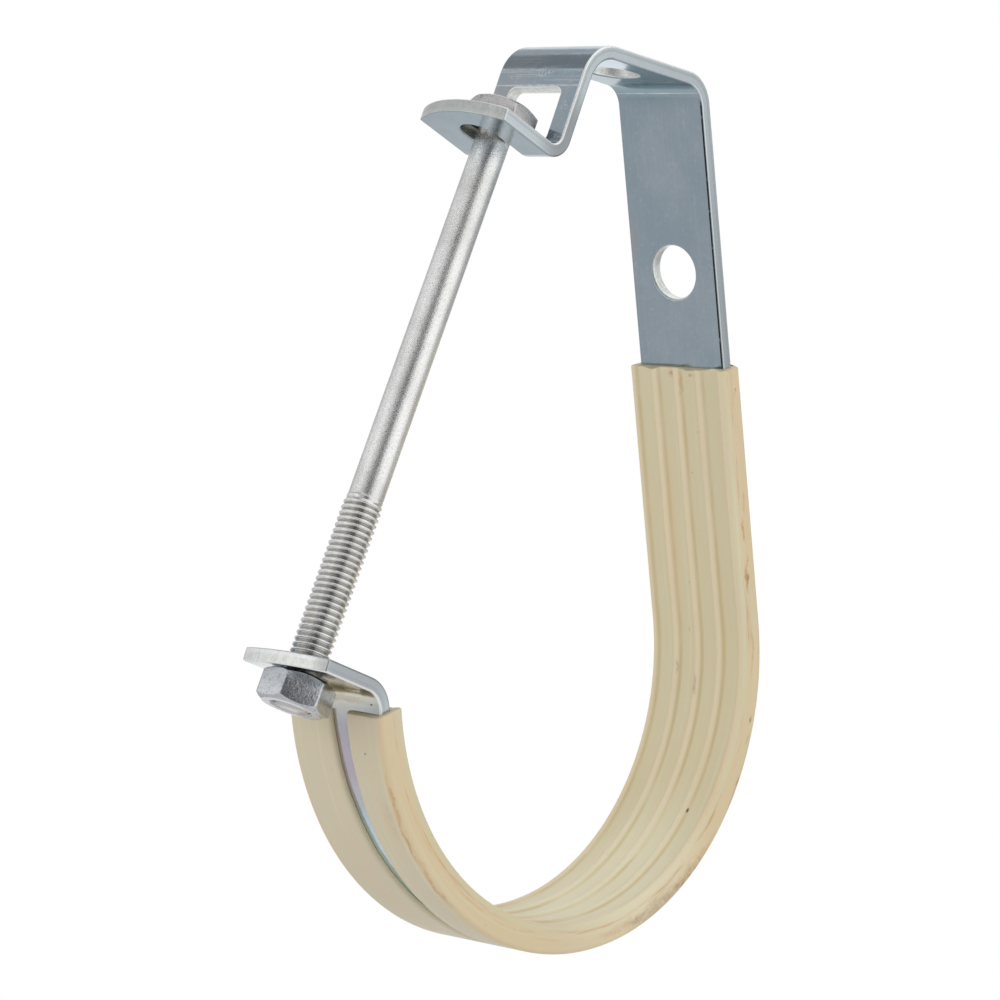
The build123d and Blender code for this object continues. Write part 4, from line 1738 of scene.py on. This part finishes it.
class Fastener:
    """What the bolt's head, its shank and the nut share: turned surfaces and a hexagon."""

    columns = 240
    corner_softness = 75.0
    rim = 0.16
    rim_middle = 0.3
    rim_slope = 0.2
    sharp_angle = 28.0

    def __init__(self, sizes: BoltSizes, axis: BoltFrame) -> None:
        """Keep the sizes and the axis."""
        self.sizes = sizes
        self.axis = axis

    def turned(
        self, radii: Array, heights: Array, upward: bool, closed: bool = False
    ) -> Surface:
        """Surface of rings of points round the axis.

        Args:
            radii: radius of each point, a row for each ring.
            heights: height of each point.
            upward: whether the rings follow each other up the outside, or down it.
            closed: whether the last ring joins the first one; each is closed by a face if not.

        Returns:
            The surface.
        """
        rows, count = radii.shape
        angle = np.linspace(0, 2 * pi, count, endpoint=False)
        points = self.axis.place(angle[None], radii, heights).reshape(-1, 3)
        order = -1 if upward else 1
        quads = ring_faces(rows, count, closed)[:, ::order]
        caps = []
        if not closed:
            caps = [range(count)[::-order], range((rows - 1) * count, rows * count)[::order]]
        return Surface(points, [*quads, *caps], sharp_angle=self.sharp_angle)

    def hexagon_rows(self, low: float, high: float, turn: float, end: End) -> tuple[Array, Array]:
        """Rows of the hexagon's outside from its lower face to its upper one.

        A cone of the chamfer's slope trims each corner: a point as far out as the hexagon meets the
        cone as far from the face as its radius is beyond the turned face's, times the slope.

        Args:
            low: height of the lower face.
            high: height of the upper face.
            turn: angle of the first corner, in degrees.
            end: which faces are chamfered.

        Returns:
            Radii and heights, a row for each step of the profile.
        """
        sizes = self.sizes
        angle = np.linspace(0, 2 * pi, self.columns, endpoint=False)
        hexagon = hexagon_radius(angle, sizes.across_flats, turn, self.corner_softness)
        face = sizes.across_flats / 2 / cos(radians(30)) - sizes.hexagon_chamfer
        slope = tan(radians(sizes.hexagon_chamfer_angle))
        drop = np.clip(hexagon - face, 0, None) * slope
        rim = self.rim
        upper = [
            (hexagon, high - drop - rim),
            (hexagon - rim * self.rim_middle, high - drop - rim * self.rim_middle),
            (hexagon - rim, high - drop - rim * slope * self.rim_slope),
            (np.minimum(np.minimum(hexagon, face), hexagon - rim), np.full_like(angle, high)),
        ]
        if end is End.BOTH:
            lower = [(radius, low + high - height) for radius, height in upper][::-1]
        else:
            lower = [
                (hexagon - rim, np.full_like(angle, low)),
                (hexagon - rim * self.rim_middle, np.full_like(angle, low + rim * self.rim_middle)),
                (hexagon, np.full_like(angle, low + rim)),
            ]
        radii, heights = zip(*lower, *upper)
        return np.stack(radii), np.stack(heights)

    def rings(self, steps: list[tuple[float, float]]) -> tuple[Array, Array]:
        """Radii and heights of plain rings, from one radius and height each."""
        radii, heights = np.repeat(np.array(steps).T[:, :, None], self.columns, axis=2)
        return radii, heights


class Bolt(Fastener):
    """The long bolt: hexagon head with a washer face, a plain shank and a rolled thread."""

    rows_per_pitch = 14
    thread_columns = 72
    thread_sharp_angle = 70.0
    tooth_shape = 0.8
    run_out = 2.2
    under_head_round = 0.5
    dish_radius = 4.2
    dish_depth = 0.05
    dish_edge = 0.2
    centre_radius = 0.02
    seat_share = 0.9
    washer_rim = 0.1
    shaded_rings = 3
    plain_levels = (0.0, -0.15, -0.5, -1.0, -20.0, -40.0, -60.0)
    thread_lead = 0.6
    thread_mark = 0.4
    end_mark = 0.3
    end_radius = 0.05

    def __init__(self, sizes: BoltSizes, axis: BoltFrame, length: float) -> None:
        """Keep the sizes, the axis from the head's seat and the length below it."""
        super().__init__(sizes, axis)
        self.length = length

    def head_surface(self) -> Surface:
        """Head: the hexagon's rows, closed by rings to the middle, over a round washer face."""
        sizes = self.sizes
        low, high = sizes.washer_face_height, sizes.head_height
        washer = sizes.washer_face / 2
        dish, dished = self.dish_radius, high - self.dish_depth
        rim, seat = self.washer_rim, sizes.shank / 2 * self.seat_share
        below = self.rings([(seat, 0.0), (washer - rim, 0.0), (washer, rim), (washer, low)])
        above = self.rings([(dish, high), (dish - self.dish_edge, dished), (self.centre_radius, dished)])
        hexagon = self.hexagon_rows(low, high, sizes.head_turn_angle, End.TOP)
        radii, heights = (np.concatenate(parts) for parts in zip(below, hexagon, above))
        made = self.turned(radii, heights, True)
        # The rings under the head get painted shade.
        seat_rings = (np.arange(len(radii)) < self.shaded_rings).astype(float)
        made.marks = {"head": np.ones(len(made.points)), "groove": np.repeat(seat_rings, self.columns)}
        return made

    def shank_surface(self) -> Surface:
        """Shank and thread in one turned surface.

        The radius at a height and angle is the root plus the thread's depth times the tooth at the
        phase (height / pitch - angle / full turn): half of one minus its cosine, to the power of the
        tooth's shape. The thread fades out where it ends.
        """
        sizes = self.sizes
        shank, root, crest = sizes.shank / 2, sizes.thread_root / 2, sizes.thread / 2
        bottom = -self.length
        start = sizes.thread_length - self.length
        plain = np.array([*self.plain_levels, start + self.thread_lead])
        fillet = self.under_head_round
        plain_radius = shank + fillet * np.clip(1 - np.sqrt(np.clip(-plain / fillet, 0, 1)), 0, 1)
        threaded = np.linspace(start, bottom, int((start - bottom) / sizes.pitch * self.rows_per_pitch))
        angle = np.linspace(0, 2 * pi, self.thread_columns, endpoint=False)
        phase = threaded[:, None] / sizes.pitch - angle[None] / (2 * pi)
        tooth = (0.5 - 0.5 * np.cos(2 * pi * phase)) ** self.tooth_shape
        fade = np.clip((start - threaded) / self.run_out, 0, 1)[:, None]
        cut = root + (crest - root) * tooth
        end_cone = crest - sizes.thread_end_chamfer + (threaded - bottom)[:, None]
        radius = np.minimum(shank + (cut - shank) * fade, end_cone)
        levels = np.concatenate((plain, threaded, [bottom]))
        flat = np.ones((1, self.thread_columns))
        radii = np.concatenate((plain_radius[:, None] * flat, radius, flat * self.end_radius))
        heights = np.broadcast_to(levels[:, None], radii.shape)
        # Painted shade, deepest in the thread's roots and fading where the thread runs out.
        groove = np.zeros_like(radii)
        groove[len(plain) : -1] = (1 - tooth) * fade
        made = self.turned(radii, heights, False)
        made.sharp_angle = self.thread_sharp_angle
        made.marks = {
            "thread": (heights < start - self.thread_mark).astype(float).reshape(-1),
            "groove": groove.reshape(-1),
            "head": (heights < bottom + self.end_mark).astype(float).reshape(-1),
        }
        return made

    def build(self, finish: bpy.types.Material) -> None:
        """Make the head and the shank as one piece that stands for its node."""
        head = self.head_surface().to_object("bolt_head")
        shank = self.shank_surface().to_object("bolt_shank")
        place(head, Body.BOLT, Slot.BOLT, "clamp_bolt", finish)
        place(shank, Body.BOLT, Slot.BOLT, "clamp_bolt", finish)


class Nut(Fastener):
    """The nut: a hexagon chamfered at both ends, with a threaded bore."""

    bore_chamfer = 0.45

    def surface(self, low: float) -> Surface:
        """The nut's surface: its outside rows, then down the bore and back to the first row."""
        sizes = self.sizes
        high = low + sizes.nut_height
        bore = sizes.thread / 2 + sizes.nut_bore_clearance
        chamfer = self.bore_chamfer
        wide = bore + chamfer
        inner = self.rings([(wide, high), (bore, high - chamfer), (bore, low + chamfer), (wide, low)])
        outside = self.hexagon_rows(low, high, sizes.nut_turn_angle, End.BOTH)
        radii, heights = (np.concatenate(parts) for parts in zip(outside, inner))
        return self.turned(radii, heights, True, closed=True)

    def build(self, low: float, finish: bpy.types.Material) -> None:
        """Make the nut and let it stand for its node."""
        made = self.surface(low).to_object("nut")
        place(made, Body.NUT, Slot.NUT, "hex_nut", finish)


def outward(azimuth: float, elevation: float) -> Vector:
    """Unit vector from the object towards an azimuth and an elevation, in degrees."""
    turn, lift = radians(azimuth), radians(elevation)
    return Vector((sin(turn) * cos(lift), -cos(turn) * cos(lift), sin(lift)))


def staged_sheet(name: str, corners: list[tuple], material: bpy.types.Material) -> bpy.types.Object:
    """Add a flat sheet of the studio, between four corners.

    Args:
        name: the sheet's name.
        corners: its corners in order, in metres.
        material: its material.

    Returns:
        The sheet.
    """
    mesh = bpy.data.meshes.new(name)
    mesh.from_pydata(corners, [], [(0, 1, 2, 3)])
    mesh.materials.append(material)
    sheet = linked(name, mesh)
    return sheet


@dataclass(frozen=True)
class StudioCard:
    """A plain card that shows only in reflections, by its direction from the object."""

    name: str
    azimuth: float
    elevation: float
    width: float
    height: float
    distance: float
    grey: float

    def build(self, centre: Vector) -> None:
        """Hang the card, facing the object."""
        away = outward(self.azimuth, self.elevation)
        right = away.cross(Vector((0, 0, 1))).normalized()
        up = right.cross(away)
        middle = centre + away * self.distance
        corners = [
            tuple(middle + right * (side * self.width / 2) + up * (rise * self.height / 2))
            for side, rise in ((-1, -1), (1, -1), (1, 1), (-1, 1))
        ]
        glow = Nodes(bpy.data.materials.new(self.name), "Emission")
        glow.fill(glow.shader, {"Color": (self.grey, self.grey, self.grey * 1.02, 1.0)})
        card = staged_sheet(self.name, corners, glow.owner)
        card.visible_camera = False
        card.visible_diffuse = False
        card.visible_shadow = False
        card.visible_transmission = False


class Studio:
    """Camera, pale floor, white surroundings, cards and soft lamps."""

    camera_place = (-556.5, -492.4, -121.2)
    camera_right = (0.6635, -0.7360, 0.1343)
    camera_up = (-0.1206, 0.0719, 0.9901)
    lens = 130.08
    sensor = 36.0
    clip = (0.01, 200.0)
    floor_height = -0.95
    floor_size = 40.0
    floor_fade = (1.0, 3.0)
    floor_grey = (0.86, 0.86, 0.86, 1)
    lamp_size = 0.9
    lamp_power = 5.0
    world_fill = 0.66
    camera_azimuth = -48.5

    def __init__(self) -> None:
        """Find the middle of the object, which cards and lamps face."""
        self.centre = (CAD_BOX[0] + CAD_BOX[1]) / 2

    def camera(self) -> None:
        """Set up the camera at the photograph's viewpoint."""
        data = bpy.data.cameras.new("camera")
        data.lens = self.lens
        data.sensor_width = self.sensor
        data.clip_start, data.clip_end = self.clip
        made = linked("camera", data)
        right = Vector(self.camera_right).normalized()
        up = Vector(self.camera_up)
        up = (up - right * up.dot(right)).normalized()
        turned = Matrix((right, up, right.cross(up))).transposed().to_4x4()
        made.matrix_world = Matrix.Translation(Vector(self.camera_place) * MM) @ turned
        bpy.context.scene.camera = made

    def world(self) -> None:
        """White for the camera, for gloss and for glass, and a plain grey fill for the rest."""
        world = bpy.data.worlds.new("studio")
        bpy.context.scene.world = world
        nodes = Nodes(world, "MixShader")
        path = nodes.add("LightPath").outputs
        seen = nodes.math("MAXIMUM", path["Is Camera Ray"], path["Is Glossy Ray"])
        nodes.fill(nodes.shader, {"Fac": nodes.math("MAXIMUM", seen, path["Is Transmission Ray"])})
        for number, strength in ((1, self.world_fill), (2, 1.0)):
            light = nodes.add("Background", {"Strength": strength, "Color": (1, 1, 1, 1)})
            nodes.fill(nodes.shader, {number: light.outputs[0]})

    def floor(self) -> None:
        """Pale floor below the hanging object, which fades to white well away from it."""
        half = self.floor_size / 2
        square = ((-half, -half), (half, -half), (half, half), (-half, half))
        corners = [(x, y, self.floor_height) for x, y in square]
        nodes = Nodes(bpy.data.materials.new("pale floor"), "MixShader")
        paint = {"Roughness": 0.9, "Base Color": self.floor_grey, "Specular IOR Level": 0.1}
        distance = nodes.add("VectorMath", {0: nodes.object_place}, "LENGTH").outputs["Value"]
        mixed = {
            "Fac": nodes.ramp(distance, *self.floor_fade),
            1: nodes.add("BsdfPrincipled", paint).outputs["BSDF"],
            2: nodes.add("Emission", {"Strength": 1.0}).outputs[0],
        }
        nodes.fill(nodes.shader, mixed)
        staged_sheet("floor", corners, nodes.owner)

    def lamp(self, name: str, azimuth: float, elevation: float, distance: float) -> None:
        """Add a square soft lamp that looks at the object and shows in no reflection."""
        data = bpy.data.lights.new(name, "AREA")
        data.shape = "SQUARE"
        data.size = self.lamp_size
        data.energy = self.lamp_power
        made = linked(name, data)
        made.visible_glossy = False
        away = outward(azimuth, elevation)
        made.location = self.centre + away * distance
        made.rotation_euler = (-away).to_track_quat("-Z", "Y").to_euler()

    def build(self) -> None:
        """Set up the whole studio."""
        bpy.context.scene.view_settings.view_transform = "Standard"
        self.camera()
        self.world()
        self.floor()
        front = self.camera_azimuth
        for name, azimuth, *rest in (
            ("core", 7, 10, 0.52, 1.5, 1.1, 0.12),
            ("middle", 2, 8, 0.90, 1.6, 1.15, 0.30),
            ("front", -6, 5, 1.75, 1.9, 1.2, 0.52),
            ("left_low", -88, -27, 1.1, 1.0, 1.2, 0.60),
            ("left_high", -92, 24, 0.46, 0.56, 1.2, 0.62),
            ("left_top", -89, 62, 1.4, 1.0, 1.2, 0.34),
            ("left_back", -140, 0, 1.3, 3.0, 1.3, 0.55),
            ("right_back", 130, 0, 1.7, 3.0, 1.3, 0.42),
        ):
            StudioCard("card_" + name, front + azimuth, *rest).build(self.centre)
        self.lamp("key", front + 62, 30, 1.6)
        self.lamp("fill", front - 60, 25, 1.8)


def node_floor(node: str, direction: Array) -> float:
    """Lowest place of a node's points along a direction, in metres."""
    mesh = frame["nodes"][node].data
    points = np.zeros(len(mesh.vertices) * 3)
    mesh.vertices.foreach_get("co", points)
    return float((points.reshape(-1, 3) @ direction).min())


def main() -> None:
    """Build the studio and every piece, in order."""
    logging.basicConfig(level=logging.INFO, format="%(name)s: %(message)s")
    Studio().build()
    up = bolt_direction()
    strap = Strap(StrapSizes(), degrees(atan2(up[2], up[0])))
    strap.build(StripFinish())
    Liner(LinerSizes(), strap).build(LinerFinish())
    bolt_place = (strap.sizes.upper_tip_beyond_bolt, 0.0, strap.sizes.thickness / 2)
    seat = strap.line.fold(*(np.array(value) for value in bolt_place))
    axis = BoltFrame(seat, up)
    low = node_floor("hex_nut", up) / MM - float(seat @ up)
    log.info("grip of the bolt, head to the nut's lower face: %.2f mm", -low)
    bolt_finish = FastenerFinish(
        name="zinc bolt",
        tint=(0.95, 0.95, 0.94, 1),
        speckle_tint=(0.42, 0.42, 0.4, 1),
        roughness=0.23,
        speckle_scale=3400.0,
        speckle_depth=0.00005,
        speckle_share=0.45,
        dent_depth=0.000005,
    )
    nut_finish = FastenerFinish(
        name="zinc nut",
        tint=(0.64, 0.66, 0.69, 1),
        speckle_tint=(0.16, 0.17, 0.2, 1),
        roughness=0.1,
        speckle_scale=1700.0,
        speckle_depth=0.00008,
        speckle_share=0.3,
        dent_depth=0.00012,
    )
    Bolt(BoltSizes(), axis, -low).build(bolt_finish.material())
    Nut(BoltSizes(), axis).build(low, nut_finish.material())


if __name__ == "__main__":
    main()
